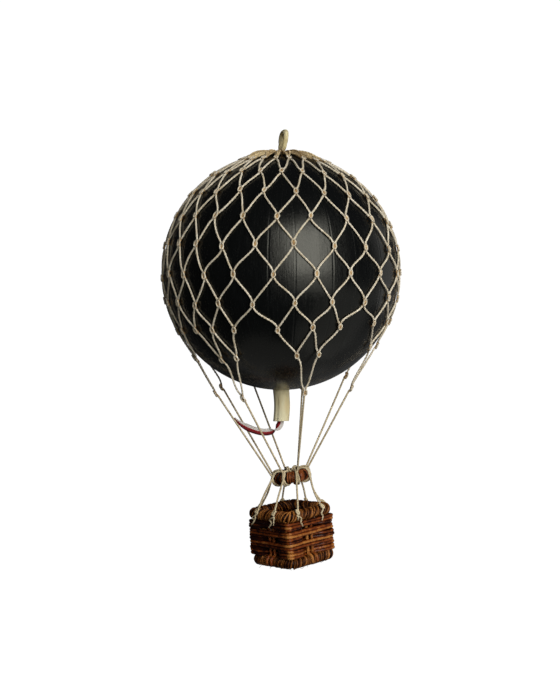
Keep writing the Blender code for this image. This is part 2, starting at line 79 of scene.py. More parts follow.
ball_low, ball_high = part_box("envelope")
BALL_CENTRE = Vector(
    ((ball_low.x + ball_high.x) / 2, (ball_low.y + ball_high.y) / 2, ball_high.z - BALL_RADIUS)
)


def place_node(material, kind, inputs=(), **settings):
    """A shader node with its settings, whose inputs take values or other nodes' outputs."""
    tree = material.node_tree
    node = tree.nodes.new("ShaderNode" + kind)
    for setting, value in settings.items():
        setattr(node, setting, value)
    for socket, value in dict(inputs).items():
        if isinstance(value, bpy.types.NodeSocket):
            tree.links.new(value, node.inputs[socket])
        else:
            node.inputs[socket].default_value = value
    return node


def new_finish(name, roughness, **sockets):
    """A material and its shader, with the values that are the same all over the surface."""
    material = bpy.data.materials.new(name)
    material.use_nodes = True
    shader = material.node_tree.nodes["Principled BSDF"]
    shader.inputs["Roughness"].default_value = roughness
    for socket, value in sockets.items():
        shader.inputs[socket.replace("_", " ")].default_value = value
    return material, shader


def show_mesh(name, bm, material):
    """Turns a finished bmesh into an object with its place in its mesh."""
    mesh = bpy.data.meshes.new(name)
    bm.to_mesh(mesh)
    bm.free()
    mesh.shade_smooth()
    mesh.materials.append(material)
    piece = bpy.data.objects.new(name, mesh)
    bpy.context.scene.collection.objects.link(piece)
    return piece


room_white, room_shader = new_finish("room_white", 0.9)
room_shader.inputs["Base Color"].default_value = (0.9, 0.9, 0.9, 1)
room_shader.inputs["Emission Color"].default_value = (1, 1, 1, 1)
room_shader.inputs["Emission Strength"].default_value = 1.0

floor_height = cad_bounds[0].z - FLOOR_DROP
bm = bmesh.new()
bmesh.ops.create_circle(bm, cap_ends=True, segments=96, radius=SWEEP_RADIUS)
bmesh.ops.translate(bm, vec=(0, 0, floor_height), verts=bm.verts)
floor = show_mesh("floor", bm, room_white)

bm = bmesh.new()
bmesh.ops.create_uvsphere(bm, u_segments=96, v_segments=48, radius=SWEEP_RADIUS * 1.02)
bmesh.ops.reverse_faces(bm, faces=bm.faces)
sweep = show_mesh("sweep", bm, room_white)

for stage_piece in (floor, sweep):
    stage_piece.visible_diffuse = False
    stage_piece.visible_glossy = False
    stage_piece.visible_transmission = False
    stage_piece.visible_shadow = False

room_air = bpy.data.worlds.new("room_air")
bpy.context.scene.world = room_air
room_air.use_nodes = True
room_air.node_tree.nodes["Background"].inputs["Color"].default_value = (0.95, 0.98, 1.0, 1)
room_air.node_tree.nodes["Background"].inputs["Strength"].default_value = 0.025

# One row for each light: name, azimuth to the right of the camera and elevation in degrees, distance,
# width, height and brightness
LIGHTS = (
    ("window", 24.5, 20.8, 1.25, 0.80, 0.95, 3.7),
    ("window_edge", -1.0, 20.5, 1.30, 0.30, 0.95, 0.45),
    ("window_glow", 28.5, 17.0, 1.45, 1.35, 1.90, 1.15),
    ("right_wall", 118.0, 4.0, 1.60, 0.9, 1.2, 0.38),
    ("right_fill", 72.0, -40.0, 1.60, 1.8, 1.8, 0.30),
    ("low_bounce", 14.0, -96.0, 1.60, 1.9, 1.7, 0.17),
    ("back_fill", 150.0, -30.0, 1.60, 1.8, 1.5, 0.10),
)
for name, azimuth, elevation, distance, width, height, brightness in LIGHTS:
    lamp = bpy.data.lights.new(name, "AREA")
    lamp.shape = "RECTANGLE"
    lamp.size = width
    lamp.size_y = height
    lamp.energy = brightness * math.pi * width * height
    stand = bpy.data.objects.new(name, lamp)
    bpy.context.scene.collection.objects.link(stand)
    turn, rise = math.radians(azimuth), math.radians(elevation)
    towards = (FORWARD * math.cos(turn) + SIDEWAYS * math.sin(turn)) * math.cos(rise) + UP * math.sin(rise)
    stand.location = BALL_CENTRE + towards * distance
    stand.rotation_mode = "QUATERNION"
    stand.rotation_quaternion = (-towards).to_track_quat("-Z", "Y")
    stand.visible_camera = False

lens = bpy.data.cameras.new("camera")
lens.sensor_width = 36
lens.lens = CAMERA_LENS
camera = bpy.data.objects.new("camera", lens)
bpy.context.scene.collection.objects.link(camera)
camera.location = BALL_CENTRE + FORWARD * CAMERA_DISTANCE
aim = -FORWARD - UP * math.tan(CAMERA_PITCH) - SIDEWAYS * math.tan(CAMERA_YAW)
camera.rotation_mode = "QUATERNION"
camera.rotation_quaternion = aim.to_track_quat("-Z", "Y")
bpy.context.scene.camera = camera
bpy.context.scene.view_settings.view_transform = "Standard"

# The ribbon
# A thin woven tape, white along one edge and dark red along the other. It comes out of the sleeve's
# mouth, turns over once, hangs in a curve and is gathered and tied to one of the lines.
RIBBON_WIDTH = 0.0055
RIBBON_THICKNESS = 0.0004
RIBBON_STEPS = 72
RIBBON_THREADS = 6
RIBBON_TURN_START = 0.22
RIBBON_TURN_SHARE = 0.26
RIBBON_TAPER_START = 0.72
RIBBON_TAPER = 0.75
RIBBON_GATHER = 0.08
RIBBON_GATHER_END = 0.24
RIBBON_CUP = 0.16
RIBBON_DEPTH = 0.0094
# sideways and up from the middle of the ball
RIBBON_ROUTE = (
    (-0.0002, -0.1118),
    (-0.0002, -0.1136),
    (-0.0010, -0.1170),
    (-0.0038, -0.1202),
    (-0.0086, -0.1221),
    (-0.0147, -0.1222),
    (-0.0214, -0.1204),
    (-0.0276, -0.1175),
    (-0.0326, -0.1140),
    (-0.0356, -0.1108),
)


def smooth_curve(points, count):
    """Points spaced by number along a smooth curve through the given ones."""
    ends = [2 * points[0] - points[1], *points, 2 * points[-1] - points[-2]]
    result = []
    for number in range(count):
        place = number / (count - 1) * (len(points) - 1)
        span = min(int(place), len(points) - 2)
        t = place - span
        a, b, c, d = ends[span : span + 4]
        result.append(
            0.5
            * (
                2 * b
                + (c - a) * t
                + (2 * a - 5 * b + 4 * c - d) * t**2
                + (3 * b - a - 3 * c + d) * t**3
            )
        )
    return result


def ease(value):
    value = min(max(value, 0.0), 1.0)
    return value * value * (3 - 2 * value)


def hang_on(piece, slot, *nodes):
    """Fixes a finished piece to the model, in place of the plain solids that it dresses."""
    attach(piece, "root")
    if nodes:
        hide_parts(*nodes)


tape_cloth, tape_shader = new_finish("woven_tape", 0.62)
across_tape = place_node(tape_cloth, "Attribute", attribute_name="across")
along_tape = place_node(tape_cloth, "Attribute", attribute_name="along")
stripe = place_node(tape_cloth, "ValToRGB", {"Fac": across_tape.outputs["Fac"]})
stripe.color_ramp.elements[0].color = (0.42, 0.008, 0.012, 1)
stripe.color_ramp.elements[1].color = (0.86, 0.80, 0.72, 1)
stripe.color_ramp.elements[0].position = 0.52
stripe.color_ramp.elements[1].position = 0.56
selvedge = stripe.color_ramp.elements.new(0.05)
selvedge.color = (0.045, 0.004, 0.006, 1)
warp = place_node(tape_cloth, "Math", {0: across_tape.outputs["Fac"], 1: 88.0}, operation="MULTIPLY")
warp = place_node(tape_cloth, "Math", {0: warp.outputs[0]}, operation="SINE")
weft = place_node(tape_cloth, "Math", {0: along_tape.outputs["Fac"], 1: 6500.0}, operation="MULTIPLY")
weft = place_node(tape_cloth, "Math", {0: weft.outputs[0]}, operation="SINE")
weave = place_node(tape_cloth, "Math", {0: warp.outputs[0], 1: weft.outputs[0]}, operation="MULTIPLY")
weave_bump = place_node(
    tape_cloth, "Bump", {"Height": weave.outputs[0], "Strength": 0.35, "Distance": 0.0001}
)
shade = place_node(tape_cloth, "MapRange", {"Value": weave.outputs[0], "From Min": -1.0, "To Min": 0.78})
shaded = place_node(
    tape_cloth, "VectorMath", {0: stripe.outputs["Color"], "Scale": shade.outputs[0]}, operation="SCALE"
)
tape_cloth.node_tree.links.new(shaded.outputs[0], tape_shader.inputs["Base Color"])
tape_cloth.node_tree.links.new(weave_bump.outputs[0], tape_shader.inputs["Normal"])
tape_shader.inputs["Specular IOR Level"].default_value = 0.2

ribbon_places = []
for number, (aside, height) in enumerate(RIBBON_ROUTE):
    ribbon_places.append(Vector((aside, RIBBON_DEPTH * number / (len(RIBBON_ROUTE) - 1), height)))
ribbon_line = [
    BALL_CENTRE + SIDEWAYS * place.x + FORWARD * place.y + UP * place.z
    for place in smooth_curve(ribbon_places, RIBBON_STEPS + 1)
]
bm = bmesh.new()
across_layer = bm.verts.layers.float.new("across")
along_layer = bm.verts.layers.float.new("along")
edges = []
travelled = 0.0
for number, point in enumerate(ribbon_line):
    before = ribbon_line[max(number - 1, 0)]
    after = ribbon_line[min(number + 1, RIBBON_STEPS)]
    share = number / RIBBON_STEPS
    travelled += (point - before).length
    normal = FORWARD.cross((after - before).normalized())
    twist = math.pi * ease((share - RIBBON_TURN_START) / RIBBON_TURN_SHARE)
    width_line = normal * math.cos(twist) + FORWARD * math.sin(twist)
    face_line = (after - before).normalized().cross(width_line)
    taper = RIBBON_TAPER * ease((share - RIBBON_TAPER_START) / (1 - RIBBON_TAPER_START))
    gather = RIBBON_GATHER * (1 - ease(share / RIBBON_GATHER_END))
    half = RIBBON_WIDTH / 2 * (1 - taper) * (1 - gather)
    if number == 0:
        row = [bm.verts.new(point) for _ in range(RIBBON_THREADS + 1)]
        edges = [bm.edges.new(pair) for pair in zip(row, row[1:])]
    else:
        made = bmesh.ops.extrude_edge_only(bm, edges=edges)["geom"]
        row = [item for item in made if isinstance(item, bmesh.types.BMVert)]
        edges = [item for item in made if isinstance(item, bmesh.types.BMEdge) and item.is_boundary]
        edges = [edge for edge in edges if edge.verts[0] in row and edge.verts[1] in row]
    for thread, vert in enumerate(row):
        side = 2 * thread / RIBBON_THREADS - 1
        cup = RIBBON_CUP * (1 + gather * 3) * half * (1 - side * side)
        vert.co = point + width_line * side * half + face_line * cup
        vert[across_layer] = (side + 1) / 2
        vert[along_layer] = travelled
bmesh.ops.solidify(bm, geom=bm.faces, thickness=RIBBON_THICKNESS)
bmesh.ops.recalc_face_normals(bm, faces=bm.faces)
ribbon = show_mesh("woven_ribbon", bm, tape_cloth)
hang_on(ribbon, "ribbon", "ribbon")

# The ball
# A thin round shell of glued paper gores, lacquered satin black. Narrow and wide gores take turns, each
# almost flat from seam to seam, and each seam is a fine groove from the crown to the mouth.
MOUTH_RADIUS = 0.0067
SHELL_WALL = 0.0015
GORE_PAIRS = 12
PAIR_ANGLE = 360 / GORE_PAIRS
NARROW_GORE = 12.2
FIRST_SEAM = -5.7
SEAM_GROOVE = 0.00022
GORE_FLATNESS = 0.00022
SHELL_RINGS = 96
INNER_RINGS = 14
# the ball's lines from crown to mouth in each gore, as degrees past its seam and shares of its width
GORE_LINES = (
    (0.0, 0),
    (0.3, 0),
    (0.8, 0),
    (0, 1 / 6),
    (0, 2 / 6),
    (0, 3 / 6),
    (0, 4 / 6),
    (0, 5 / 6),
    (-0.8, 1),
    (-0.3, 1),
)


def level(azimuth):
    """The level direction at an azimuth from the camera's side, growing to its right."""
    return FORWARD * math.cos(azimuth) + SIDEWAYS * math.sin(azimuth)


lacquer, lacquer_shader = new_finish("black_lacquer", 0.25, Specular_IOR_Level=0.42)
lacquer_shader.inputs["Specular Tint"].default_value = (1.0, 0.98, 0.84, 1)
ball_place = place_node(lacquer, "TexCoord")
ball_place = place_node(
    lacquer, "Mapping", {"Vector": ball_place.outputs["Object"], "Location": tuple(-BALL_CENTRE)}
)
ball_axes = place_node(lacquer, "SeparateXYZ", {0: ball_place.outputs[0]})
around = place_node(lacquer, "CombineXYZ", {"X": ball_axes.outputs["X"], "Y": ball_axes.outputs["Y"]})
around = place_node(lacquer, "VectorMath", {0: around.outputs[0]}, operation="NORMALIZE")
upright = place_node(lacquer, "CombineXYZ", {"Z": ball_axes.outputs["Z"]})


def brushed(around_scale, up_scale, detail):
    """Noise in strokes that run from the crown to the mouth."""
    turned = place_node(
        lacquer, "VectorMath", {0: around.outputs[0], "Scale": around_scale}, operation="SCALE"
    )
    raised = place_node(
        lacquer, "VectorMath", {0: upright.outputs[0], "Scale": up_scale}, operation="SCALE"
    )
    both = place_node(lacquer, "VectorMath", {0: turned.outputs[0], 1: raised.outputs[0]})
    return place_node(
        lacquer, "TexNoise", {"Vector": both.outputs[0], "Scale": 1.0, "Detail": detail}
    )


broad_strokes = brushed(26.0, 22.0, 2.0)
fine_strokes = brushed(120.0, 130.0, 3.0)
specks = place_node(
    lacquer, "TexNoise", {"Vector": ball_place.outputs[0], "Scale": 620.0, "Detail": 3.0}
)
stroke_mix = place_node(
    lacquer, "Math", {0: broad_strokes.outputs["Fac"], 1: fine_strokes.outputs["Fac"]}
)
stroke_mix = place_node(
    lacquer, "Math", {0: stroke_mix.outputs[0], 1: specks.outputs["Fac"]}
)
lacquer_tone = place_node(lacquer, "ValToRGB", {"Fac": fine_strokes.outputs["Fac"]})
lacquer_tone.color_ramp.elements[0].color = (0.0014, 0.0016, 0.0018, 1)
lacquer_tone.color_ramp.elements[1].color = (0.0052, 0.0060, 0.0062, 1)
lacquer_rough = place_node(
    lacquer,
    "MapRange",
    {"Value": stroke_mix.outputs[0], "From Min": 1.0, "From Max": 2.0, "To Min": 0.16, "To Max": 0.33},
)
lacquer_bump = place_node(
    lacquer, "Bump", {"Height": stroke_mix.outputs[0], "Strength": 0.34, "Distance": 0.00016}
)
lacquer.node_tree.links.new(lacquer_tone.outputs["Color"], lacquer_shader.inputs["Base Color"])
lacquer.node_tree.links.new(lacquer_rough.outputs[0], lacquer_shader.inputs["Roughness"])
lacquer.node_tree.links.new(lacquer_bump.outputs[0], lacquer_shader.inputs["Normal"])

bm = bmesh.new()
inside = BALL_RADIUS - SHELL_WALL
for radius, rings in ((BALL_RADIUS, SHELL_RINGS), (inside, INNER_RINGS)):
    start = math.asin(MOUTH_RADIUS / radius)
    angles = [start + (math.pi - start) * ring / rings for ring in range(rings + 1)]
    points = [bm.verts.new((radius * math.sin(a), 0, -radius * math.cos(a))) for a in angles[:-1]]
    points.append(bm.verts.new((0, 0, radius)))
    bmesh.ops.spin(
        bm,
        geom=points + [bm.edges.new(pair) for pair in zip(points, points[1:])],
        cent=(0, 0, 0),
        axis=(0, 0, 1),
        angle=2 * math.pi,
        steps=2 * GORE_PAIRS * len(GORE_LINES),
        use_merge=True,
    )
bmesh.ops.remove_doubles(bm, verts=bm.verts, dist=1e-6)
bmesh.ops.bridge_loops(bm, edges=[edge for edge in bm.edges if edge.is_boundary])
bmesh.ops.recalc_face_normals(bm, faces=bm.faces)
line_angle = math.pi / GORE_PAIRS / len(GORE_LINES)
for vert in bm.verts:
    flat = Vector((vert.co.x, vert.co.y, 0))
    if flat.length < 1e-6:
        continue
    gore, line = divmod(round(math.atan2(vert.co.y, vert.co.x) / line_angle), len(GORE_LINES))
    pair, is_wide = divmod(gore, 2)
    gore_width = PAIR_ANGLE - NARROW_GORE if is_wide else NARROW_GORE
    past = GORE_LINES[line][0] + GORE_LINES[line][1] * gore_width
    on_outside = vert.co.length > (BALL_RADIUS + inside) / 2
    if on_outside:
        dip = SEAM_GROOVE if line == 0 else GORE_FLATNESS * (1 - (2 * past / gore_width - 1) ** 2)
        flat *= 1 - dip / BALL_RADIUS
    azimuth = math.radians(FIRST_SEAM + pair * PAIR_ANGLE + is_wide * NARROW_GORE + past)
    vert.co = level(azimuth) * flat.length + UP * vert.co.z
bmesh.ops.translate(bm, vec=BALL_CENTRE, verts=bm.verts)
bmesh.ops.recalc_face_normals(bm, faces=bm.faces)
hang_on(show_mesh("lacquered_ball", bm, lacquer), "shell", "envelope")

# The hang loop
# A short link of thick natural cord, with its two plies laid so slowly that they show as one groove.
# It stands on the crown, where the net's collar holds it, and a hook goes through it.
NET_LEAN = math.radians(1.5)
LEAN = Matrix.Rotation(-NET_LEAN, 3, FORWARD)
EYE_HEIGHT = 0.1042
LOOP_CORD = 0.0047
LOOP_HALF_WIDTH = 0.0052
LOOP_STRAIGHT = 0.0045
LOOP_BOTTOM_DEPTH = 0.0042
LOOP_SWING = 0.0006
LOOP_ASIDE = 0.0008
LOOP_NARROW = 0.20
LOOP_HEADING = math.radians(156.5)


def evenly_spaced(points, spacing):
    """Points a set distance apart on a smooth curve through the given ones."""
    fine = smooth_curve(points, 8 * (len(points) - 1) + 1)
    reach = [0.0]
    for before, after in zip(fine, fine[1:]):
        reach.append(reach[-1] + (after - before).length)
    steps = max(2, round(reach[-1] / spacing))
    result = []
    span = 0
    for step in range(steps + 1):
        wanted = reach[-1] * step / steps
        while span < len(fine) - 2 and reach[span + 1] < wanted:
            span += 1
        length = reach[span + 1] - reach[span]
        result.append(fine[span].lerp(fine[span + 1], (wanted - reach[span]) / length))
    return result


def lay_cords(
    name, runs, material, diameter, pitch, waist=0.72, sides=8, spacing=None, tapers=None, swell=None
):
    """Two-ply cords along runs of points, turned once in each pitch, as one piece.

    The waist is the cord's thickness between its plies, as a share of its full thickness. A taper is a
    run's thickness at its start and its end, and a swell its thickness all along, as shares.
    """
    outline = bpy.data.curves.new("cord_outline", "CURVE")
    outline.dimensions = "2D"
    ring = outline.splines.new("POLY")
    ring.points.add(sides - 1)
    for number, point in enumerate(ring.points):
        angle = 2 * math.pi * number / sides
        radius = diameter / 4 * ((1 + waist) + (1 - waist) * math.cos(2 * angle))
        point.co = (radius * math.cos(angle), radius * math.sin(angle), 0, 1)
    ring.use_cyclic_u = True
    guide = bpy.data.objects.new("cord_outline", outline)
    laid = bpy.data.curves.new(name, "CURVE")
    laid.dimensions = "3D"
    laid.bevel_mode = "OBJECT"
    laid.bevel_object = guide
    laid.use_fill_caps = True
    for number, run in enumerate(runs):
        points = evenly_spaced(run, spacing or pitch / 8)
        first, last = tapers[number] if tapers else (1.0, 1.0)
        spline = laid.splines.new("POLY")
        spline.points.add(len(points) - 1)
        travelled = 0.0
        for step, (place, point) in enumerate(zip(spline.points, points)):
            travelled += (point - points[max(step - 1, 0)]).length
            place.co = (*point, 1)
            place.tilt = 2 * math.pi * travelled / pitch + number
            share = step / (len(points) - 1)
            place.radius = first + (last - first) * share
            if swell:
                place.radius *= swell[round(share * (len(swell) - 1))]
    holder = bpy.data.objects.new(name, laid)
    bpy.context.scene.collection.objects.link(guide)
    bpy.context.scene.collection.objects.link(holder)
    bpy.context.view_layer.update()
    mesh = bpy.data.meshes.new_from_object(
        holder.evaluated_get(bpy.context.evaluated_depsgraph_get())
    )
    bpy.data.objects.remove(holder)
    bpy.data.objects.remove(guide)
    bm = bmesh.new()
    bm.from_mesh(mesh)
    bpy.data.meshes.remove(mesh)
    bmesh.ops.remove_doubles(bm, verts=bm.verts, dist=1e-7)
    bmesh.ops.recalc_face_normals(bm, faces=bm.faces)
    return show_mesh(name, bm, material)


def fibre_finish(name, pale, deep, grain, sheen=0.1):
    """Dry natural fibre: fine hairs in two tones, slightly fuzzy at its edges."""
    material, shader = new_finish(name, 0.82)
    place = place_node(material, "TexCoord")
    hairs = place_node(
        material, "TexNoise", {"Vector": place.outputs["Object"], "Scale": grain, "Detail": 3.0}
    )
    blotches = place_node(
        material, "TexNoise", {"Vector": place.outputs["Object"], "Scale": grain / 14, "Detail": 2.0}
    )
    both = place_node(
        material,
        "Mix",
        {"Factor": 0.5, "A": hairs.outputs["Fac"], "B": blotches.outputs["Fac"]},
    )
    tone = place_node(material, "ValToRGB", {"Fac": both.outputs["Result"]})
    tone.color_ramp.elements[0].position = 0.36
    tone.color_ramp.elements[1].position = 0.62
    tone.color_ramp.elements[0].color = (*deep, 1)
    tone.color_ramp.elements[1].color = (*pale, 1)
    bump = place_node(
        material, "Bump", {"Height": hairs.outputs["Fac"], "Strength": 0.45, "Distance": 0.0002}
    )
    material.node_tree.links.new(tone.outputs["Color"], shader.inputs["Base Color"])
    material.node_tree.links.new(bump.outputs[0], shader.inputs["Normal"])
    shader.inputs["Sheen Weight"].default_value = sheen
    return material


loop_fibre = fibre_finish("loop_fibre", (0.88, 0.78, 0.46), (0.46, 0.36, 0.14), 2200.0)
loop_side = Vector((math.cos(LOOP_HEADING), math.sin(LOOP_HEADING), 0))
loop_top = EYE_HEIGHT + 0.0030 - LOOP_HALF_WIDTH
loop_points = []
loop_swell = []
for step in range(33):
    angle = math.pi * (step / 16 - 0.5)
    in_top = math.sin(angle) >= 0
    centre = loop_top if in_top else loop_top - LOOP_STRAIGHT
    reach = LOOP_HALF_WIDTH if in_top else LOOP_BOTTOM_DEPTH
    along = loop_side * LOOP_HALF_WIDTH * math.cos(angle) + UP * (centre + reach * math.sin(angle))
    swing = LOOP_SWING * (along.z - loop_top) / LOOP_STRAIGHT - LOOP_ASIDE
    loop_points.append(BALL_CENTRE + LEAN @ (along + SIDEWAYS * swing))
    loop_swell.append(1.0 - LOOP_NARROW * ease((loop_top - along.z) / LOOP_STRAIGHT))
hang_loop = lay_cords(
    "cord_loop",
    [loop_points],
    loop_fibre,
    LOOP_CORD,
    0.034,
    waist=0.84,
    sides=16,
    spacing=0.0012,
    swell=loop_swell,
)
hang_on(hang_loop, "loop_cord", "hang_loop")

# The net
# Natural two-ply twine, knotted by hand into long meshes round the ball. The lower rows hang lower on
# the left, and each row's knots are small tight netting knots that stand proud of the twine.
COLUMNS = 21
ROW_LATITUDES = (68.5, 53.3, 39.4, 25.9, 12.4, -0.7, -13.3, -26.2)
ROW_TILT = (0.0, 0.0, 0.0, 0.0, 0.3, 1.8, 2.4, 3.6)
ROW_DRAW = (0.0, 0.4, 0.4, 0.6, 1.4, 2.0, 2.8, 3.0)
DRAW_MIDDLE = math.radians(-26)
DRAW_WIDTH = math.radians(24)
FIRST_COLUMN = math.radians(-2.2)
COLUMN_DRIFT = math.radians(8.6)
GROUP_PULL = 0.90
HAND_JITTER = math.radians(0.55)
TWINE = 0.00172
TWINE_PITCH = 0.0052
TWINE_REST = BALL_RADIUS + 0.00088
KNOT_HALF_WIDTH = 0.00142
KNOT_HALF_HEIGHT = 0.00240
KNOT_REACH = 0.00260
LEG_SPREAD = 0.00075
HANG_LATITUDE = math.radians(-30.0)
LOW_KNOT_DROP = 0.0600
LOW_TILT = 0.0052
# One row for each line, round from the front: columns of the net that it gathers, drop of its foot
# knot, azimuth on the load ring in degrees, and its place on the rim, as the side's outward direction
# and the distance from that side's middle
LINES = (
    ("front_right", 3, 0.0870, 19.5, (1, 0), -0.0145),
    ("right_front", 3, 0.0870, 67.5, (1, 0), 0.0112),
    ("right_back", 2, 0.0810, 112.5, (0, 1), 0.0115),
    ("back_right", 3, 0.0915, 157.5, (0, 1), -0.0085),
    ("back_left", 2, 0.0880, 193.0, (-1, 0), 0.0148),
    ("left_back", 2, 0.0898, 247.5, (-1, 0), -0.0080),
    ("left_front", 3, 0.0917, 292.5, (0, -1), -0.0090),
    ("front_left", 3, 0.0924, 337.5, (0, -1), 0.0105),
)
# how far each line's foot knot hangs to the right of its straight way, seen from the camera's side
FOOT_SHIFT = {
    "front_right": 0.0,
    "right_front": -0.0017,
    "right_back": -0.0014,
    "back_right": 0.0028,
    "back_left": 0.0016,
    "left_back": -0.0010,
    "left_front": -0.0010,
    "front_left": -0.0023,
}
RING_DROP = 0.1568
RING_OFFSET = 0.0078
RING_ROLL = math.radians(9.5)
RING_MAJOR = 0.0102
RING_MINOR = 0.0047
TURN_RADIUS = RING_MINOR + 0.00060
RING_FRAME = Matrix.Translation(SIDEWAYS * RING_OFFSET - UP * RING_DROP) @ Matrix.Rotation(
    RING_ROLL, 4, FORWARD
)


def column_azimuth(column):
    """Azimuth of a column, drawn together on one side as the handmade net is."""
    azimuth = FIRST_COLUMN + column * 2 * math.pi / COLUMNS
    return azimuth + COLUMN_DRIFT * (1 - math.cos(azimuth))


def knot_frame(centre, east, north, turn=0.0, size=1.0):
    """A knot's own axes at its place: east, north and out of the net."""
    out = east.cross(north).normalized()
    axes = Matrix((east, north, out)).transposed().to_4x4()
    return Matrix.Translation(centre) @ axes @ Matrix.Rotation(turn, 4, "Z") @ Matrix.Scale(size, 4)


hand = random.Random(41)
knots = []
for row, (latitude, tilt, draw) in enumerate(zip(ROW_LATITUDES, ROW_TILT, ROW_DRAW)):
    stagger = 0.5 * (len(ROW_LATITUDES) - 1 - row)
    shift = stagger - math.floor(stagger)
    azimuths = [column_azimuth(column + shift) for column in range(COLUMNS)]
    if row == len(ROW_LATITUDES) - 1:
        first = 0
        for _, size, *_ in LINES:
            group = range(first, first + size)
            middle = sum(azimuths[column] for column in group) / size
            for column in group:
                azimuths[column] = middle + (azimuths[column] - middle) * GROUP_PULL
            first += size
    placed = []
    for azimuth in azimuths:
        away = math.remainder(azimuth - DRAW_MIDDLE, 2 * math.pi) / DRAW_WIDTH
        azimuth += hand.gauss(0, HAND_JITTER) - math.radians(draw) * math.exp(-away * away)
        height = math.radians(latitude + tilt * math.sin(azimuth)) + hand.gauss(0, HAND_JITTER)
        out = LEAN @ (level(azimuth) * math.cos(height) + UP * math.sin(height))
        east = LEAN @ level(azimuth + math.pi / 2)
        turn = hand.gauss(0, 0.14)
        size = hand.uniform(0.92, 1.08)
        placed.append(knot_frame(out * TWINE_REST, east, out.cross(east), turn, size))
    knots.append((placed, shift))


def on_ball(point):
    """Keeps a point of the net from sinking into the ball."""
    return point * max(1.0, TWINE_REST / point.length)


def leg(upper, lower, side):
    """Twine from one knot down to the next on its left or right, easing out of both knots."""
    start = upper @ Vector((side * LEG_SPREAD, -KNOT_REACH, 0))
    end = lower @ Vector((-side * LEG_SPREAD, KNOT_REACH, 0))
    stretch = (end - start).length
    leave = (upper.to_3x3() @ Vector((side * 0.55, -1, 0))).normalized() * stretch * 0.3
    arrive = (lower.to_3x3() @ Vector((-side * 0.55, 1, 0))).normalized() * stretch * 0.3
    result = []
    for step in range(9):
        t = step / 8
        point = (
            start * (1 - t) ** 3
            + (start + leave) * 3 * t * (1 - t) ** 2
            + (end + arrive) * 3 * t * t * (1 - t)
            + end * t**3
        )
        result.append(BALL_CENTRE + on_ball(point))
    return result


def netting_knot(knot):
    """A bight round the waist of the knot, and the two strands that cross inside it."""
    bight = []
    for step in range(13):
        angle = 2 * math.pi * (step / 12 + 0.27)
        bight.append(
            (KNOT_HALF_WIDTH * math.cos(angle), KNOT_HALF_HEIGHT * math.sin(angle), 0.00105)
        )
    over = [
        (-LEG_SPREAD, -KNOT_REACH, 0),
        (-0.0007, -0.0014, 0.0004),
        (0, 0, 0.00085),
        (0.0007, 0.0014, 0.0004),
        (LEG_SPREAD, KNOT_REACH, 0),
    ]
    under = [(-x, y, height * 0.3) for x, y, height in over]
    return [
        [BALL_CENTRE + knot @ Vector(point) for point in strand] for strand in (bight, over, under)
    ]


upper_legs = []
lower_legs = []
for (upper_row, shift), (lower_row, _), part in zip(
    knots, knots[1:], (upper_legs,) * 3 + (lower_legs,) * 4
):
    for column, knot in enumerate(upper_row):
        left = lower_row[column] if shift else lower_row[column - 1]
        right = lower_row[(column + 1) % COLUMNS] if shift else lower_row[column]
        part.append(leg(knot, left, -1))
        part.append(leg(knot, right, 1))

hanging_knots = []
feet = {}
first = 0
for name, size, drop, ring_azimuth, *_ in LINES:
    azimuths = [column_azimuth(column) for column in range(first, first + size)]
    azimuth = sum(azimuths) / size
    out = level(azimuth) * math.cos(HANG_LATITUDE) + UP * math.sin(HANG_LATITUDE)
    leaves = LEAN @ out * TWINE_REST
    tie = RING_FRAME @ (level(math.radians(ring_azimuth)) * (RING_MAJOR + TURN_RADIUS))
    foot = leaves.lerp(tie, (leaves.z + drop) / (leaves.z - tie.z))
    half_column = math.pi / COLUMNS
    low = []
    for offset in (-half_column, half_column) if size == 3 else (0.0,):
        out = level(azimuth + offset) * math.cos(HANG_LATITUDE) + UP * math.sin(HANG_LATITUDE)
        edge = LEAN @ out * TWINE_REST
        low_drop = LOW_KNOT_DROP - LOW_TILT * math.sin(azimuth + offset) + hand.gauss(0, 0.0005)
        centre = on_ball(edge.lerp(foot, (edge.z + low_drop) / (edge.z - foot.z)))
        north = (edge - tie).normalized()
        east = level(azimuth + offset + math.pi / 2)
        east = (east - north * east.dot(north)).normalized()
        low.append(knot_frame(centre, east, north, hand.gauss(0, 0.12)))
    north = (leaves - tie).normalized()
    east = level(azimuth + math.pi / 2)
    east = (east - north * east.dot(north)).normalized()
    foot += SIDEWAYS * FOOT_SHIFT[name]
    feet[name] = knot_frame(foot, east, north, hand.gauss(0, 0.12), 1.08)
    lowest = knots[-1][0]
    for number, knot in enumerate(low):
        lower_legs.append(leg(lowest[first + number], knot, 1))
        lower_legs.append(leg(lowest[first + number + 1], knot, -1))
        lower_legs.append(leg(knot, feet[name], 1 if number == 0 else -1))
    hanging_knots += [*low, feet[name]]
    first += size

twine_fibre = fibre_finish("twine_fibre", (0.93, 0.84, 0.66), (0.60, 0.49, 0.31), 2600.0)
# the strands inside each knot are deeper orange-brown: partly the twine's colour, partly painted shade inside
# the knot
shaded_knot_fibre = fibre_finish("shaded_knot_fibre", (0.70, 0.48, 0.22), (0.34, 0.18, 0.06), 2600.0)
crown_fibre = fibre_finish("crown_fibre", (0.92, 0.73, 0.40), (0.30, 0.17, 0.05), 950.0)
knot_loops = []
knot_hearts = []
for knot in [knot for placed, _ in knots for knot in placed] + hanging_knots:
    bight, *crossing = netting_knot(knot)
    knot_loops.append(bight)
    knot_hearts += crossing

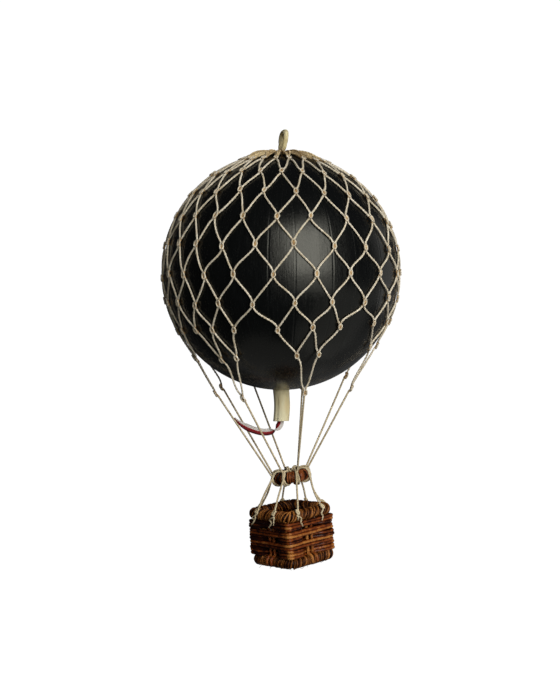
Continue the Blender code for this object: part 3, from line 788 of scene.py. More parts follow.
# the crown: slack twines run up from the top row, pile up on each other and end round the loop's foot
COLLAR_RADIUS = 0.0050
COLLAR_TURNS = 2
CROWN_PILE = 0.0019
CROWN_TWINES = ((-1, 0.6), (1, 0.8), (-0.3, 1.4), (0.5, 1.9), (0.1, 2.4))
crown_cords = []
top_row = knots[0][0]
for knot in top_row:
    for side, pile in CROWN_TWINES:
        start = knot @ Vector((side * LEG_SPREAD, KNOT_REACH * 0.9, 0.0003 * pile))
        turned = math.atan2(start.dot(SIDEWAYS), start.dot(FORWARD)) + side * hand.uniform(0.04, 0.22)
        end = level(turned) * COLLAR_RADIUS + UP * (TWINE_REST + hand.uniform(-0.0002, 0.0010))
        slack = hand.uniform(0.25, 1.0) * CROWN_PILE * pile / 1.5
        sway = level(turned + math.pi / 2) * hand.gauss(0, 0.0014) * pile
        run = []
        for step in range(9):
            t = step / 8
            arch = 4 * t * (1 - t)
            point = on_ball(start.lerp(end, t))
            run.append(BALL_CENTRE + point.normalized() * (point.length + slack * arch) + sway * arch)
        crown_cords.append(run)
collar = []
for step in range(COLLAR_TURNS * 16 + 1):
    turn = step / 16
    radius = COLLAR_RADIUS * (1.0 + 0.10 * math.sin(turn * 5.3))
    height = TWINE_REST + 0.0003 + 0.0005 * turn / COLLAR_TURNS
    collar.append(BALL_CENTRE + LEAN @ (level(2 * math.pi * turn) * radius + UP * height))
crown_cords.append(collar)

upper_net = lay_cords("net_upper_twine", upper_legs, twine_fibre, TWINE, TWINE_PITCH)
lower_net = lay_cords("net_lower_twine", lower_legs, twine_fibre, TWINE, TWINE_PITCH)
crown_net = lay_cords("net_crown_twine", crown_cords, crown_fibre, TWINE, TWINE_PITCH)
loops_net = lay_cords(
    "net_knot_loops", knot_loops, twine_fibre, TWINE * 0.80, TWINE_PITCH, sides=6, spacing=0.0010
)
hearts_net = lay_cords(
    "net_knot_hearts", knot_hearts, shaded_knot_fibre, TWINE * 0.90, TWINE_PITCH, sides=5, spacing=0.0012
)
for piece in (upper_net, lower_net, crown_net, loops_net, hearts_net):
    hang_on(piece, "net_twine", "net")

# The sleeve
# A short sleeve of stiff cream cloth, glued into the ball's mouth. It has bent a little, one soft fold
# runs down it, and two pressed lines follow its hem.
SLEEVE_RADIUS = 0.0064
SLEEVE_LENGTH = 0.0240
SLEEVE_INSERT = 0.0040
SLEEVE_WALL = 0.0008
SLEEVE_BEND = 0.0007
SLEEVE_RINGS = 56
HEM_LINES = (0.0016, 0.0029)
HEM_DEPTH = 0.00014

sleeve_cloth, sleeve_shader = new_finish("sleeve_cloth", 0.88)
sleeve_place = place_node(sleeve_cloth, "TexCoord")
creases = place_node(
    sleeve_cloth, "Mapping", {"Vector": sleeve_place.outputs["Object"], "Scale": (170, 170, 40)}
)
creases = place_node(sleeve_cloth, "TexNoise", {"Vector": creases.outputs[0], "Scale": 1.0, "Detail": 3.0})
cloth_grain = place_node(
    sleeve_cloth, "TexNoise", {"Vector": sleeve_place.outputs["Object"], "Scale": 2400.0}
)
cloth_mix = place_node(
    sleeve_cloth, "Math", {0: creases.outputs["Fac"], 1: cloth_grain.outputs["Fac"]}
)
# painted shade: the cloth is darker where the crease pattern dips, which the bump also makes low
crease_shaded_tone = place_node(sleeve_cloth, "ValToRGB", {"Fac": creases.outputs["Fac"]})
crease_shaded_tone.color_ramp.elements[0].position = 0.33
crease_shaded_tone.color_ramp.elements[1].position = 0.60
crease_shaded_tone.color_ramp.elements[0].color = (0.90, 0.75, 0.41, 1)
crease_shaded_tone.color_ramp.elements[1].color = (0.98, 0.90, 0.58, 1)
cloth_bump = place_node(
    sleeve_cloth, "Bump", {"Height": cloth_mix.outputs[0], "Strength": 0.25, "Distance": 0.0002}
)
sleeve_cloth.node_tree.links.new(crease_shaded_tone.outputs["Color"], sleeve_shader.inputs["Base Color"])
sleeve_cloth.node_tree.links.new(cloth_bump.outputs[0], sleeve_shader.inputs["Normal"])
sleeve_shader.inputs["Specular IOR Level"].default_value = 0.25

bm = bmesh.new()
sleeve_top = -BALL_RADIUS + SLEEVE_INSERT
sleeve_mouth = -BALL_RADIUS - SLEEVE_LENGTH
column = []
for ring in range(SLEEVE_RINGS + 1):
    height = sleeve_mouth + (sleeve_top - sleeve_mouth) * ring / SLEEVE_RINGS
    column.append(bm.verts.new((SLEEVE_RADIUS - SLEEVE_WALL * 0.1, 0, height)))
bmesh.ops.spin(
    bm,
    geom=column + [bm.edges.new(pair) for pair in zip(column, column[1:])],
    cent=(0, 0, 0),
    axis=(0, 0, 1),
    angle=2 * math.pi,
    steps=72,
    use_merge=True,
)
bmesh.ops.remove_doubles(bm, verts=bm.verts, dist=1e-6)
bmesh.ops.recalc_face_normals(bm, faces=bm.faces)
bmesh.ops.solidify(bm, geom=bm.faces, thickness=SLEEVE_WALL)
for vert in bm.verts:
    azimuth = math.atan2(vert.co.y, vert.co.x)
    below = max(0.0, -BALL_RADIUS - vert.co.z) / SLEEVE_LENGTH
    fold = math.exp(-((math.remainder(azimuth + 0.55, 2 * math.pi) / 0.16) ** 2))
    squeeze = 0.045 * math.cos(2 * azimuth + 0.8) - 0.075 * fold
    squeeze += 0.010 * math.sin(3 * azimuth + 5 * below)
    rise = vert.co.z - sleeve_mouth
    dent = sum(math.exp(-(((rise - line) / 0.00028) ** 2)) for line in HEM_LINES) * HEM_DEPTH
    reach = math.hypot(vert.co.x, vert.co.y) * (1 + squeeze * ease(below * 2.5)) - dent
    end_wave = 0.00028 * math.sin(2 * azimuth + 1.0) * ease(below)
    bend = SLEEVE_BEND * math.sin(math.pi * below)
    vert.co = level(azimuth) * reach + UP * (vert.co.z + end_wave) + SIDEWAYS * bend
bmesh.ops.translate(bm, vec=BALL_CENTRE, verts=bm.verts)
bmesh.ops.recalc_face_normals(bm, faces=bm.faces)
hang_on(show_mesh("cloth_sleeve", bm, sleeve_cloth), "throat", "throat")

# The load ring
# A cane core bent to a ring and wound with split cane: dark on its left, as painted shade, finely wound
# and speckled in front, and covered by a few broad smooth strips on its right.
RING_CORE = 0.0040
FINE_WRAP = 0.00115
BROAD_WRAP = 0.0062
# width of the strips on the ring's left and back, whose dark tone is painted shade
SHADED_WRAP = 0.0020
# how deep the painted shade is at the edges of the ring's strips
RING_EDGE_SHADE = 0.35
CORE_TONE = 0.1


def stained_cane(name, stains, roughness, gloss, grain):
    """Half-glossy cane, stained from dark to light. The tone attribute sets each strip's place there, and also
    carries the painted shade and painted highlights that the pieces add to it.
    """
    material, shader = new_finish(
        name, roughness, Specular_IOR_Level=0.12, Coat_Weight=gloss, Coat_Roughness=0.20
    )
    place = place_node(material, "TexCoord")
    strip = place_node(material, "Attribute", attribute_name="tone")
    stain = place_node(
        material, "TexNoise", {"Vector": place.outputs["Object"], "Scale": grain / 6, "Detail": 3.0}
    )
    pores = place_node(
        material, "TexNoise", {"Vector": place.outputs["Object"], "Scale": grain, "Detail": 3.0}
    )
    depth = place_node(material, "Math", {0: strip.outputs["Fac"], 1: stain.outputs["Fac"]})
    depth = place_node(
        material,
        "MapRange",
        {"Value": depth.outputs[0], "From Min": 0.72, "From Max": 1.50, "To Min": 0.0, "To Max": 1.0},
    )
    tone = place_node(material, "ValToRGB", {"Fac": depth.outputs[0]})
    dark, middle, light = stains
    tone.color_ramp.elements[0].color = (*dark, 1)
    tone.color_ramp.elements[1].color = (*light, 1)
    tone.color_ramp.elements.new(0.52).color = (*middle, 1)
    wear = place_node(
        material,
        "MapRange",
        {
            "Value": pores.outputs["Fac"],
            "From Min": 0.3,
            "From Max": 0.7,
            "To Min": roughness - 0.12,
            "To Max": roughness + 0.15,
        },
    )
    bump = place_node(
        material, "Bump", {"Height": pores.outputs["Fac"], "Strength": 0.35, "Distance": 0.0002}
    )
    material.node_tree.links.new(tone.outputs["Color"], shader.inputs["Base Color"])
    material.node_tree.links.new(wear.outputs[0], shader.inputs["Roughness"])
    material.node_tree.links.new(bump.outputs[0], shader.inputs["Normal"])
    return material


def bent_rods(runs, radius, closed=False, resolution=3, swell=None):
    """Round rods along runs of points, as one mesh. Swell gives each point's thickness as a share."""
    bent = bpy.data.curves.new("bent_rods", "CURVE")
    bent.dimensions = "3D"
    bent.bevel_depth = radius
    bent.bevel_resolution = resolution
    bent.use_fill_caps = True
    for run in runs:
        spline = bent.splines.new("POLY")
        spline.points.add(len(run) - 1)
        for number, (place, point) in enumerate(zip(spline.points, run)):
            place.co = (*point, 1)
            place.radius = swell(number / len(run)) if swell else 1.0
        spline.use_cyclic_u = closed
    holder = bpy.data.objects.new("bent_rods", bent)
    bpy.context.scene.collection.objects.link(holder)
    bpy.context.view_layer.update()
    mesh = bpy.data.meshes.new_from_object(
        holder.evaluated_get(bpy.context.evaluated_depsgraph_get())
    )
    bpy.data.objects.remove(holder)
    return mesh


def add_toned(bm, mesh, tone, matrix=None):
    """Adds a mesh to a bmesh, moved by a matrix, with its tone (depth of stain, with any painted shade) raised
    by a tone.
    """
    known = len(bm.verts)
    bm.from_mesh(mesh)
    layer = bm.verts.layers.float.get("tone") or bm.verts.layers.float.new("tone")
    bm.verts.ensure_lookup_table()
    for vert in bm.verts[known:]:
        vert[layer] += tone
        if matrix is not None:
            vert.co = matrix @ vert.co


def cane_wrap(inner, outer, edge_shade):
    """One turn of split cane about Z, a metre wide before it is scaled, with painted shade darkening it towards
    its edges.
    """
    bm = bmesh.new()
    shoulder = inner + (outer - inner) * 0.35
    section = ((inner, -0.5), (shoulder, -0.5), (outer, -0.18), (outer, 0.18), (shoulder, 0.5))
    points = [bm.verts.new((radius, 0, along)) for radius, along in section]
    edges = [bm.edges.new(pair) for pair in zip(points, points[1:] + points[:1])]
    bmesh.ops.spin(
        bm,
        geom=points + edges,
        cent=(0, 0, 0),
        axis=(0, 0, 1),
        angle=2 * math.pi,
        steps=18,
        use_merge=True,
    )
    bmesh.ops.remove_doubles(bm, verts=bm.verts, dist=1e-7)
    bmesh.ops.recalc_face_normals(bm, faces=bm.faces)
    layer = bm.verts.layers.float.new("tone")
    for vert in bm.verts:
        # painted shade: each strip is darker towards its edges, where it meets its neighbours
        vert[layer] = edge_shade * (math.hypot(vert.co.x, vert.co.y) - outer) / (outer - inner)
    mesh = bpy.data.meshes.new("cane_wrap")
    bm.to_mesh(mesh)
    bm.free()
    return mesh


def closed_path(points, spacing):
    """Frames along a closed level path: Z runs along it, X outward and Y up."""
    count = len(points)
    path = []
    for number in range(count):
        a, b, c, d = (points[(number + step) % count] for step in (-1, 0, 1, 2))
        pieces = max(1, round((c - b).length / spacing))
        for piece in range(pieces):
            t = piece / pieces
            path.append(
                0.5
                * (
                    2 * b
                    + (c - a) * t
                    + (2 * a - 5 * b + 4 * c - d) * t**2
                    + (3 * b - a - 3 * c + d) * t**3
                )
            )
    return path


def path_frame(path, number):
    """The frame at one point of a closed level path, in metres from the path's own origin."""
    before, after = path[number - 1], path[(number + 1) % len(path)]
    along = (after - before).normalized()
    outward = along.cross(UP).normalized()
    axes = Matrix((outward, UP, along)).transposed().to_4x4()
    return Matrix.Translation(path[number]) @ axes


def wound_ring(path, core_radius, outer_radius, widths, seed, lean, edge_shade, grow=None):
    """A closed cane core and the strips wound round it, as one bmesh in the path's own frame.

    The widths are functions of the share of the way round: a strip's width and its depth of stain, which on the
    load ring's dark left is painted shade.
    Grow is the ring's thickness there, as a share.
    """
    picks = random.Random(seed)
    bm = bmesh.new()
    core = bent_rods([path], core_radius, closed=True, swell=grow)
    add_toned(bm, core, CORE_TONE)
    reach = [0.0]
    for number in range(len(path)):
        reach.append(reach[-1] + (path[(number + 1) % len(path)] - path[number]).length)
    wrap = cane_wrap(core_radius * 0.96, outer_radius, edge_shade)
    travelled = 0.0
    while travelled < reach[-1]:
        width, tone = widths(travelled / reach[-1])
        width *= picks.uniform(0.82, 1.16)
        number = min(range(len(path)), key=lambda n: abs(reach[n] - travelled - width / 2))
        shear = Matrix.Identity(4)
        shear[2][0] = lean * picks.uniform(-0.5, 0.3)
        shear[2][1] = lean * picks.uniform(0.5, 1.4)
        size = picks.uniform(0.95, 1.035) * (grow(travelled / reach[-1]) if grow else 1.0)
        shape = shear @ Matrix.Diagonal((size, size, width * 0.97, 1))
        shape = path_frame(path, number) @ shape @ Matrix.Rotation(picks.uniform(0, 6.3), 4, "Z")
        add_toned(bm, wrap, min(max(tone + picks.gauss(0, 0.21), 0.0), 1.0), shape)
        travelled += width
    bmesh.ops.remove_doubles(bm, verts=bm.verts, dist=1e-7)
    return bm


def ring_wraps(share):
    """Widths and depths of stain round the load ring, from its front by its right side; the dark tone on its
    left and back is painted shade.
    """
    degrees = math.remainder(share * 360, 360)
    if 24 < degrees < 80:
        return BROAD_WRAP, 0.96
    if -42 < degrees <= 24:
        return FINE_WRAP, 0.72
    return SHADED_WRAP, 0.14


ring_circle = []
for step in range(120):
    ring_circle.append(level(2 * math.pi * step / 120) * RING_MAJOR)
RING_STAINS = ((0.010, 0.002, 0.0005), (0.20, 0.050, 0.011), (0.42, 0.140, 0.045))
ring_cane = stained_cane("ring_cane", RING_STAINS, 0.42, 0.18, 2300.0)
bm = wound_ring(ring_circle, RING_CORE, RING_MINOR, ring_wraps, 7, 0.12, RING_EDGE_SHADE)
bmesh.ops.transform(bm, matrix=Matrix.Translation(BALL_CENTRE) @ RING_FRAME, verts=bm.verts)
hang_on(show_mesh("wound_ring", bm, ring_cane), "ring_cane", "load_ring")

# The rigging lines
# Eight twines from the net's lowest knots. Each is lashed twice round the load ring, its turns crossing
# in front, and is knotted over the basket's rim, where its frayed ends hang down.
LINE_TURNS = 2
TURN_POINTS = 34
TURN_CROSS = 0.0017
TURN_RIDE = 0.0005
BASKET_DROP = 0.2241
BASKET_OFFSET = 0.0098
BASKET_ROLL = math.radians(4.5)
BASKET_HEIGHT = 0.0442
RIM_SECTION = 0.0043
RIM_HALF = 0.0208
RIM_AIM = math.radians(37.0)
RIM_WRAP_END = math.radians(38.0)
LINE_THICKNESS = 0.98
LINE_WAIST = 0.88
RIM_REACH = RIM_SECTION + 0.0009
FRAY_HAIRS = 6
BASKET_FRAME = Matrix.Translation(SIDEWAYS * BASKET_OFFSET - UP * BASKET_DROP) @ Matrix.Rotation(
    BASKET_ROLL, 4, FORWARD
)


def tangent_angle(point, radius, side):
    """Where a line from a point in a plane touches a circle round the plane's origin."""
    return math.atan2(point.y, point.x) + side * math.acos(radius / point.length)


def rigging_line(foot, tie_azimuth, rim_side, rim_along, hitch, bow):
    """From below its foot knot, twice round the load ring, then down and over the rim.

    The hitch is how far above its straight way the line first meets the ring, as an angle.
    """
    ring = RING_FRAME.to_3x3()
    outward = ring @ level(tie_azimuth)
    along = ring @ level(tie_azimuth + math.pi / 2)
    up = ring @ UP
    ring_centre = RING_FRAME.translation + outward * RING_MAJOR
    basket = BASKET_FRAME.to_3x3()
    rim_out = basket @ Vector((*rim_side, 0))
    rim_line = basket @ Vector((abs(rim_side[1]), abs(rim_side[0]), 0))
    rim_up = basket @ UP
    rim_centre = BASKET_FRAME @ Vector((0, 0, BASKET_HEIGHT - RIM_SECTION))
    rim_centre += rim_out * RIM_HALF + rim_line * rim_along
    def in_ring_plane(point):
        return Vector(((point - ring_centre).dot(outward), (point - ring_centre).dot(up)))

    leaves_forward = (rim_centre - ring_centre).dot(along) > (foot - ring_centre).dot(along)
    cross = TURN_CROSS if leaves_forward else -TURN_CROSS
    rim_top = rim_centre + (rim_out * math.cos(RIM_AIM) + rim_up * math.sin(RIM_AIM)) * RIM_REACH
    start = tangent_angle(in_ring_plane(foot), TURN_RADIUS, -1) + hitch
    end = tangent_angle(in_ring_plane(rim_top), TURN_RADIUS, 1) - 2 * math.pi * LINE_TURNS
    turns = []
    for step in range(TURN_POINTS + 1):
        share = step / TURN_POINTS
        angle = start + (end - start) * share
        radius = TURN_RADIUS + TURN_RIDE * ease((share - 0.38) / 0.14) * ease((0.86 - share) / 0.14)
        turns.append(
            ring_centre
            + (outward * math.cos(angle) + up * math.sin(angle)) * radius
            + along * cross * (math.sin(2 * math.pi * share) + share - 0.5)
        )
    leaving = turns[-1] - rim_centre
    first = tangent_angle(Vector((leaving.dot(rim_out), leaving.dot(rim_up))), RIM_REACH, -1)
    over = []
    for share in (0.0, 0.35, 0.7, 1.0):
        angle = first + (RIM_WRAP_END - first) * share
        over.append(rim_centre + (rim_out * math.cos(angle) + rim_up * math.sin(angle)) * RIM_REACH)
    sag = turns[-1].lerp(over[0], 0.55) + outward * bow
    down = (turns[0] - foot).normalized()
    begin = foot + down * (KNOT_REACH * 0.9)
    return [begin, begin.lerp(turns[0], 0.5), *turns, sag, *over], rim_out, rim_line, rim_up


# how high each line is hitched on the ring in degrees, how far it bows outward below the ring, and its
# frayed ends: how far they swing along the rim and how far they hang, in metres
TIES = {
    "front_right": (80, 0.0004, ((0.0026, 0.0098), (-0.0012, 0.0040))),
    "right_front": (80, -0.0016, ((-0.0022, 0.0090),)),
    "right_back": (80, -0.0032, ((0.0014, 0.0060),)),
    "back_right": (80, 0.0024, ((-0.0016, 0.0074), (0.0020, 0.0048))),
    "back_left": (80, 0.0012, ((0.0018, 0.0066),)),
    "left_back": (42, -0.0018, ((-0.0015, 0.0070),)),
    "left_front": (42, 0.0008, ((-0.0050, 0.0094), (-0.0018, 0.0060))),
    "front_left": (80, 0.0010, ((-0.0040, 0.0098), (0.0008, 0.0074))),
}
line_fibre = fibre_finish("line_fibre", (0.82, 0.69, 0.44), (0.47, 0.35, 0.18), 2600.0)
picks = random.Random(12)
for name, _, _, ring_azimuth, rim_side, rim_along in LINES:
    foot = feet[name].translation
    hitch, bow, tails = TIES[name]
    run, rim_out, rim_line, rim_up = rigging_line(
        foot, math.radians(ring_azimuth), rim_side, rim_along, math.radians(hitch), bow
    )
    held = run[-1]
    rim_centre = held - (rim_out * math.cos(RIM_WRAP_END) + rim_up * math.sin(RIM_WRAP_END)) * RIM_REACH
    rim_north = rim_up * math.cos(RIM_WRAP_END) - rim_out * math.sin(RIM_WRAP_END)
    rim_knot = knot_frame(held, rim_up.cross(rim_out), rim_north, picks.uniform(-0.5, 0.5), 0.82)
    strands = [[BALL_CENTRE + point for point in run]]
    thickness = [(LINE_THICKNESS, LINE_THICKNESS)]
    for strand in netting_knot(rim_knot):
        strands.append(strand)
        thickness.append((0.85, 0.85))
    hairs = []
    for swing, drop in tails:
        tail = [held + rim_out * 0.0006]
        for number, (share, zigzag) in enumerate(((0.25, 0.1), (0.5, 1.0), (0.75, 0.55), (1.0, 1.0))):
            rise = RIM_REACH * math.sin(RIM_WRAP_END) - drop * share
            out = math.sqrt(max(RIM_REACH**2 - max(rise, 0.0) ** 2, 0.0)) + 0.0003 * number
            tail.append(rim_centre + rim_out * out + rim_up * rise + rim_line * swing * zigzag)
        strands.append([BALL_CENTRE + point for point in tail])
        thickness.append((0.80, 0.72))
        end = tail[-1]
        away = (tail[-1] - tail[-2]).normalized()
        for _ in range(FRAY_HAIRS):
            spread = Vector([picks.gauss(0, 0.38) for _ in range(3)])
            tip = end + (away + spread).normalized() * picks.uniform(0.0008, 0.0019)
            hairs.append([end - away * 0.0006, end.lerp(tip, 0.5) + spread * 0.0001, tip])
    for hair in hairs:
        strands.append([BALL_CENTRE + point for point in hair])
        thickness.append((0.34, 0.10))
    line = lay_cords(
        f"lashed_line_{name}", strands, line_fibre, TWINE, TWINE_PITCH, LINE_WAIST, tapers=thickness
    )
    hang_on(line, "net_twine", f"rigging_line_{name}")

# The basket
# Four corner posts and four pairs of flat stakes stand in a wound border. Round rods of stained rattan
# are woven round them one to three at a time, and a wound rim closes the top.
BORDER_SECTION = 0.0041
BORDER_HALF = 0.0204
BORDER_SWELL = 0.22
# how deep the painted shade is at the edges of the border's and rim's strips
EDGE_SHADE = 0.6
BORDER_LIFT = 0.0011
FRAME_CORNER = 0.0052
POST_RADIUS = 0.0011
POST_HALF = 0.01985
STAKE_HALF = 0.0203
STAKE_SPACING = 0.0047
ROD_RADIUS = 0.00140
ROD_OVER_BORDER = 0.0011
ROD_UNDER_RIM = 0.0006
ROD_CORNER = 0.0040
WEAVE_OFFSET = 0.00237
ROD_WANDER = 0.00025
# painted shade on each rod's top and bottom, where it presses on the rods beside it
CREVICE_SHADE = 0.60
# painted shade on the basket's left face, which is turned away from the light
LEFT_SHADE = 0.27
# how much lighter the rods get at the corners: partly worn stain, partly painted highlight
CORNER_WEAR_AND_HIGHLIGHT = 0.50
INNER_SHIFT = 0.0005
WEAVE_NEAR = 0.0042
WEAVE_FAR = 0.0125
# the woven rods in bands from the lowest up: whether they pass behind the stakes, how far they bulge
# at the corners and the depth of stain of each, from dark to light
WEAVE_BANDS = (
    (True, 0.0016, (0.62, 0.80, 0.50)),
    (False, 0.0008, (0.66, 0.98)),
    (True, 0.0014, (0.44, 0.56)),
    (False, 0.0010, (0.92, 0.70)),
    (True, 0.0006, (0.36,)),
    (False, 0.0014, (0.62, 0.50)),
)
GAP = 0.0003
FIBRE_ENDS = 26
FIBRE_RADIUS = 0.00013
BASKET = Matrix.Translation(BALL_CENTRE) @ BASKET_FRAME


def rounded_square(half, corner, height, corner_steps):
    """Points of a level square ring with round corners."""
    points = []
    for quarter in range(4):
        turn = Matrix.Rotation(quarter * math.pi / 2, 3, "Z")
        centre = Vector((half - corner, half - corner, 0))
        for step in range(corner_steps + 1):
            angle = math.pi / 2 * step / corner_steps
            reach = Vector((math.cos(angle), math.sin(angle), 0)) * corner
            points.append(turn @ (centre + reach) + UP * height)
        points.append(turn @ Vector((0, half, 0)) + UP * height)
    return points


def show_in_basket(name, bm, material, slot, *nodes):
    bmesh.ops.transform(bm, matrix=BASKET, verts=bm.verts)
    bmesh.ops.recalc_face_normals(bm, faces=bm.faces)
    hang_on(show_mesh(name, bm, material), slot, *nodes)


WRAP_STAINS = ((0.018, 0.0032, 0.0004), (0.18, 0.056, 0.010), (0.46, 0.18, 0.042))
ROD_STAINS = ((0.018, 0.0020, 0.0003), (0.22, 0.046, 0.007), (0.50, 0.20, 0.045))
wrap_cane = stained_cane("wrap_cane", WRAP_STAINS, 0.50, 0.06, 2100.0)
rod_cane = stained_cane("rod_cane", ROD_STAINS, 0.42, 0.20, 1900.0)


def near_right(share):
    """How near a place on a border is to the basket's right corner, from 0 to 1."""
    return max(0.0, math.cos(2 * math.pi * (share - 0.04))) ** 3


def border_thickness(share):
    """The border is thickest at the right corner, where its strips start and end."""
    return 1 + BORDER_SWELL * near_right(share)


border_path = closed_path(rounded_square(BORDER_HALF, FRAME_CORNER, BORDER_SECTION, 4), 0.0008)
for number, point in enumerate(border_path):
    point.z += BORDER_LIFT * near_right(number / len(border_path))
bm = wound_ring(
    border_path, 0.0034, BORDER_SECTION, lambda share: (0.0016, 0.62), 21, 0.22, EDGE_SHADE, border_thickness
)
picks = random.Random(64)
fibres = []
for _ in range(FIBRE_ENDS):
    start = picks.choice(border_path)
    outward = Vector((start.x, start.y, 0)).normalized()
    start = start - UP * BORDER_SECTION * 0.9 + outward * picks.uniform(-0.002, 0.002)
    away = outward * picks.gauss(0.2, 0.5) - UP * picks.uniform(0.1, 0.7) + outward.cross(UP) * picks.gauss(0, 1)
    tip = start + away.normalized() * picks.uniform(0.0015, 0.0042)
    fibres.append([start, start.lerp(tip, 0.5) - UP * picks.uniform(0.0, 0.0006), tip])
add_toned(bm, bent_rods(fibres, FIBRE_RADIUS, resolution=1), 0.5)
show_in_basket("wound_border", bm, wrap_cane, "basket_wrap", "basket_base_border")

# the floor: flat splits of rattan woven over and under each other
FLOOR_STRIPS = 9
FLOOR_HALF = BORDER_HALF - BORDER_SECTION - GAP
SPLIT_THICKNESS = 0.0006
SPLIT_WAVE = 0.0004
bm = bmesh.new()
picks = random.Random(33)
tone_layer = bm.verts.layers.float.new("tone")
spacing = 2 * FLOOR_HALF / FLOOR_STRIPS
for crosswise in (False, True):
    for strip in range(FLOOR_STRIPS):
        offset = -FLOOR_HALF + (strip + 0.5) * spacing
        made = bmesh.ops.create_grid(bm, x_segments=4 * FLOOR_STRIPS, y_segments=2, size=1.0)["verts"]
        tone = picks.uniform(0.25, 0.65)
        for vert in made:
            along = vert.co.x * FLOOR_HALF
            across = offset + vert.co.y * spacing * 0.44
            phase = math.pi * (along / spacing + strip + (0.5 if FLOOR_STRIPS % 2 else 0.0))
            height = SPLIT_WAVE * math.sin(phase) * (1 if crosswise else -1)
            vert.co = (across, along, height) if crosswise else (along, across, height)
            vert[tone_layer] = tone
bmesh.ops.recalc_face_normals(bm, faces=bm.faces)
bmesh.ops.solidify(bm, geom=bm.faces, thickness=SPLIT_THICKNESS)
bmesh.ops.translate(bm, vec=(0, 0, BORDER_SECTION), verts=bm.verts)
show_in_basket("woven_floor", bm, rod_cane, "basket_rattan", "basket_floor")

# posts and stakes: each goes from the border up into the rim
stand_low = 2 * BORDER_SECTION - 0.0006
stand_high = BASKET_HEIGHT - 2 * RIM_SECTION + 0.0006
bend_reach = BORDER_SECTION + POST_RADIUS * 0.5
for quarter in range(4):
    turn = Matrix.Rotation(quarter * math.pi / 2, 3, "Z")
    corner = turn @ Vector((POST_HALF, POST_HALF, 0))
    uprights = [(f"basket_corner_post_{quarter + 1}", "corner_post", corner, False)]
    for number, side in enumerate((-1, 1)):
        foot = turn @ Vector((side * STAKE_SPACING / 2, STAKE_HALF, 0))
        uprights.append((f"basket_stake_{2 * quarter + number + 1}", "bent_stake", foot, True))
    for node_name, kind, foot, bends in uprights:
        run = []
        for degrees in (-20, 0, 20, 40, 60, 80) if bends else ():
            angle = math.radians(degrees)
            reach = BORDER_HALF - STAKE_HALF + bend_reach * math.cos(angle)
            over = turn @ Vector((0, reach, 0))
            run.append(Vector((foot.x + over.x, foot.y + over.y, BORDER_SECTION + bend_reach * math.sin(angle))))
        for step in range(13):
            rise = stand_low + (stand_high - stand_low) * (step + 0.5 * bends) / (12 + 0.5 * bends)
            sway = turn @ Vector((picks.gauss(0, 0.00012), 0, 0))
            run.append(Vector((foot.x, foot.y, rise)) + sway)
        bm = bmesh.new()
        # the post and stakes of the left face get the painted shade too
        tone = picks.uniform(0.65, 0.95) - LEFT_SHADE * (quarter == 2)
        add_toned(bm, bent_rods([run], POST_RADIUS * 1.05, resolution=3), tone)
        bmesh.ops.remove_doubles(bm, verts=bm.verts, dist=1e-7)
        number = node_name.rsplit("_", 1)[1]
        show_in_basket(f"{kind}_{number}", bm, rod_cane, "basket_rattan", node_name)


# rods: outside the corner posts, and outside or inside the stakes by turns, one to three in a band
def rod_route(height, behind_stakes, bulge):
    outside = STAKE_HALF + WEAVE_OFFSET
    inside = STAKE_HALF - WEAVE_OFFSET
    middle = (WEAVE_NEAR + WEAVE_FAR) / 2
    points = []
    for quarter in range(4):
        turn = Matrix.Rotation(quarter * math.pi / 2, 3, "Z")
        centre = Vector((outside - ROD_CORNER, outside - ROD_CORNER, height))
        for angle in (0.0, math.pi / 4, math.pi / 2):
            reach = Vector((math.cos(angle), math.sin(angle), 0))
            extra = bulge[quarter] * math.sin(2 * angle)
            points.append(turn @ (centre + reach * (ROD_CORNER + extra)))
        # behind the stakes a rod is pressed up on the two back sides and down on the other two
        shift = INNER_SHIFT if quarter < 2 else -INNER_SHIFT
        for along in (WEAVE_FAR, middle, WEAVE_NEAR, -WEAVE_NEAR, -middle, -WEAVE_FAR):
            depth = (WEAVE_FAR - abs(along)) / (WEAVE_FAR - WEAVE_NEAR) if behind_stakes else 0.0
            place = Vector((along, outside + (inside - outside) * depth, height + shift * depth))
            points.append(turn @ place)
    return points


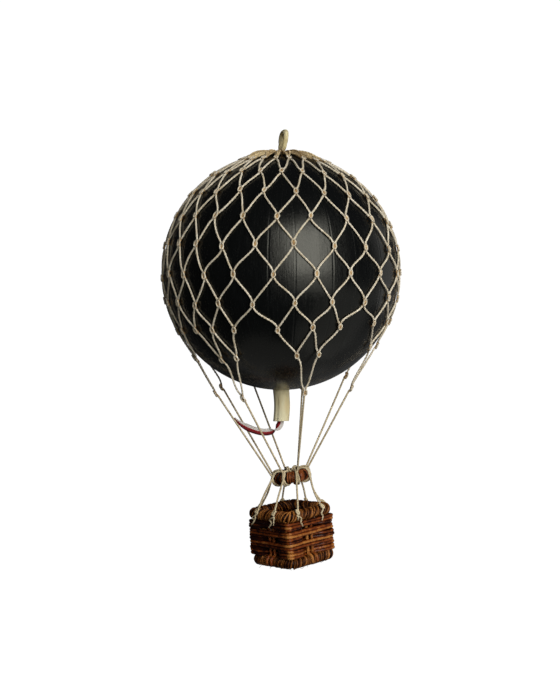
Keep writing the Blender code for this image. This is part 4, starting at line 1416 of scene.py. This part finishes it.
rods = sum(len(tones) for _, _, tones in WEAVE_BANDS)
rod_low = 2 * BORDER_SECTION + ROD_OVER_BORDER
rod_high = BASKET_HEIGHT - 2 * RIM_SECTION - ROD_UNDER_RIM
picks = random.Random(58)
rod = 0
for behind_stakes, bulge, tones in WEAVE_BANDS:
    bulges = [bulge * picks.uniform(0.6, 1.3) for _ in range(4)]
    drift = [picks.gauss(0, ROD_WANDER) for _ in range(9)]
    for tone in tones:
        height = rod_low + (rod_high - rod_low) * rod / (rods - 1)
        spread = [extra * picks.uniform(0.5, 1.1) for extra in bulges]
        route = rod_route(height, behind_stakes, spread)
        wander = [shared + picks.gauss(0, ROD_WANDER * 0.6) for shared in drift]
        wobble = []
        for number, point in enumerate(route):
            outward = Vector((point.x, point.y, 0)).normalized()
            before, share = divmod(number / len(route) * 8, 1)
            lift = wander[int(before)] * (1 - ease(share)) + wander[(int(before) + 1) % 8] * ease(share)
            wobble.append(point + UP * lift + outward * picks.gauss(0, 0.00015))
        path = closed_path(wobble, 0.0008)
        swell = [picks.uniform(0.90, 1.08) for _ in range(17)]
        round_rod = bent_rods(
            [path],
            ROD_RADIUS,
            closed=True,
            resolution=3,
            swell=lambda share: swell[round(share * 16)],
        )
        bm = bmesh.new()
        add_toned(bm, round_rod, tone)
        bmesh.ops.remove_doubles(bm, verts=bm.verts, dist=1e-7)
        bmesh.ops.recalc_face_normals(bm, faces=bm.faces)
        bm.normal_update()
        tone_layer = bm.verts.layers.float["tone"]
        wear = CORNER_WEAR_AND_HIGHLIGHT * picks.uniform(0.0, 1.0)
        for vert in bm.verts:
            # painted shade: rods darker along the left face, fading out towards the near corner
            left = ease((-vert.co.y - 0.012) / 0.006) * ease((0.021 - vert.co.x) / 0.009)
            # lighter near the corners: partly worn stain, partly painted highlight
            worn_and_highlit = ease((min(abs(vert.co.x), abs(vert.co.y)) - 0.0188) / 0.0030)
            # painted shade on the tops and bottoms of the rods, where they press together
            vert[tone_layer] += wear * worn_and_highlit - CREVICE_SHADE * vert.normal.z**2 - LEFT_SHADE * left
        rod += 1
        show_in_basket(f"woven_rod_{rod:02d}", bm, rod_cane, "basket_rattan", f"basket_weaver_{rod:02d}")

rim_path = closed_path(
    rounded_square(RIM_HALF, FRAME_CORNER, BASKET_HEIGHT - RIM_SECTION, 4), 0.0008
)


def rim_wraps(share):
    """Width and tone of the rim's strips, which are darker round the back."""
    return 0.0018, 0.48 if 0.12 < share < 0.56 else 0.68


bm = wound_ring(rim_path, 0.0035, RIM_SECTION, rim_wraps, 5, 0.45, EDGE_SHADE)
show_in_basket("wound_rim", bm, wrap_cane, "basket_wrap", "basket_rim")
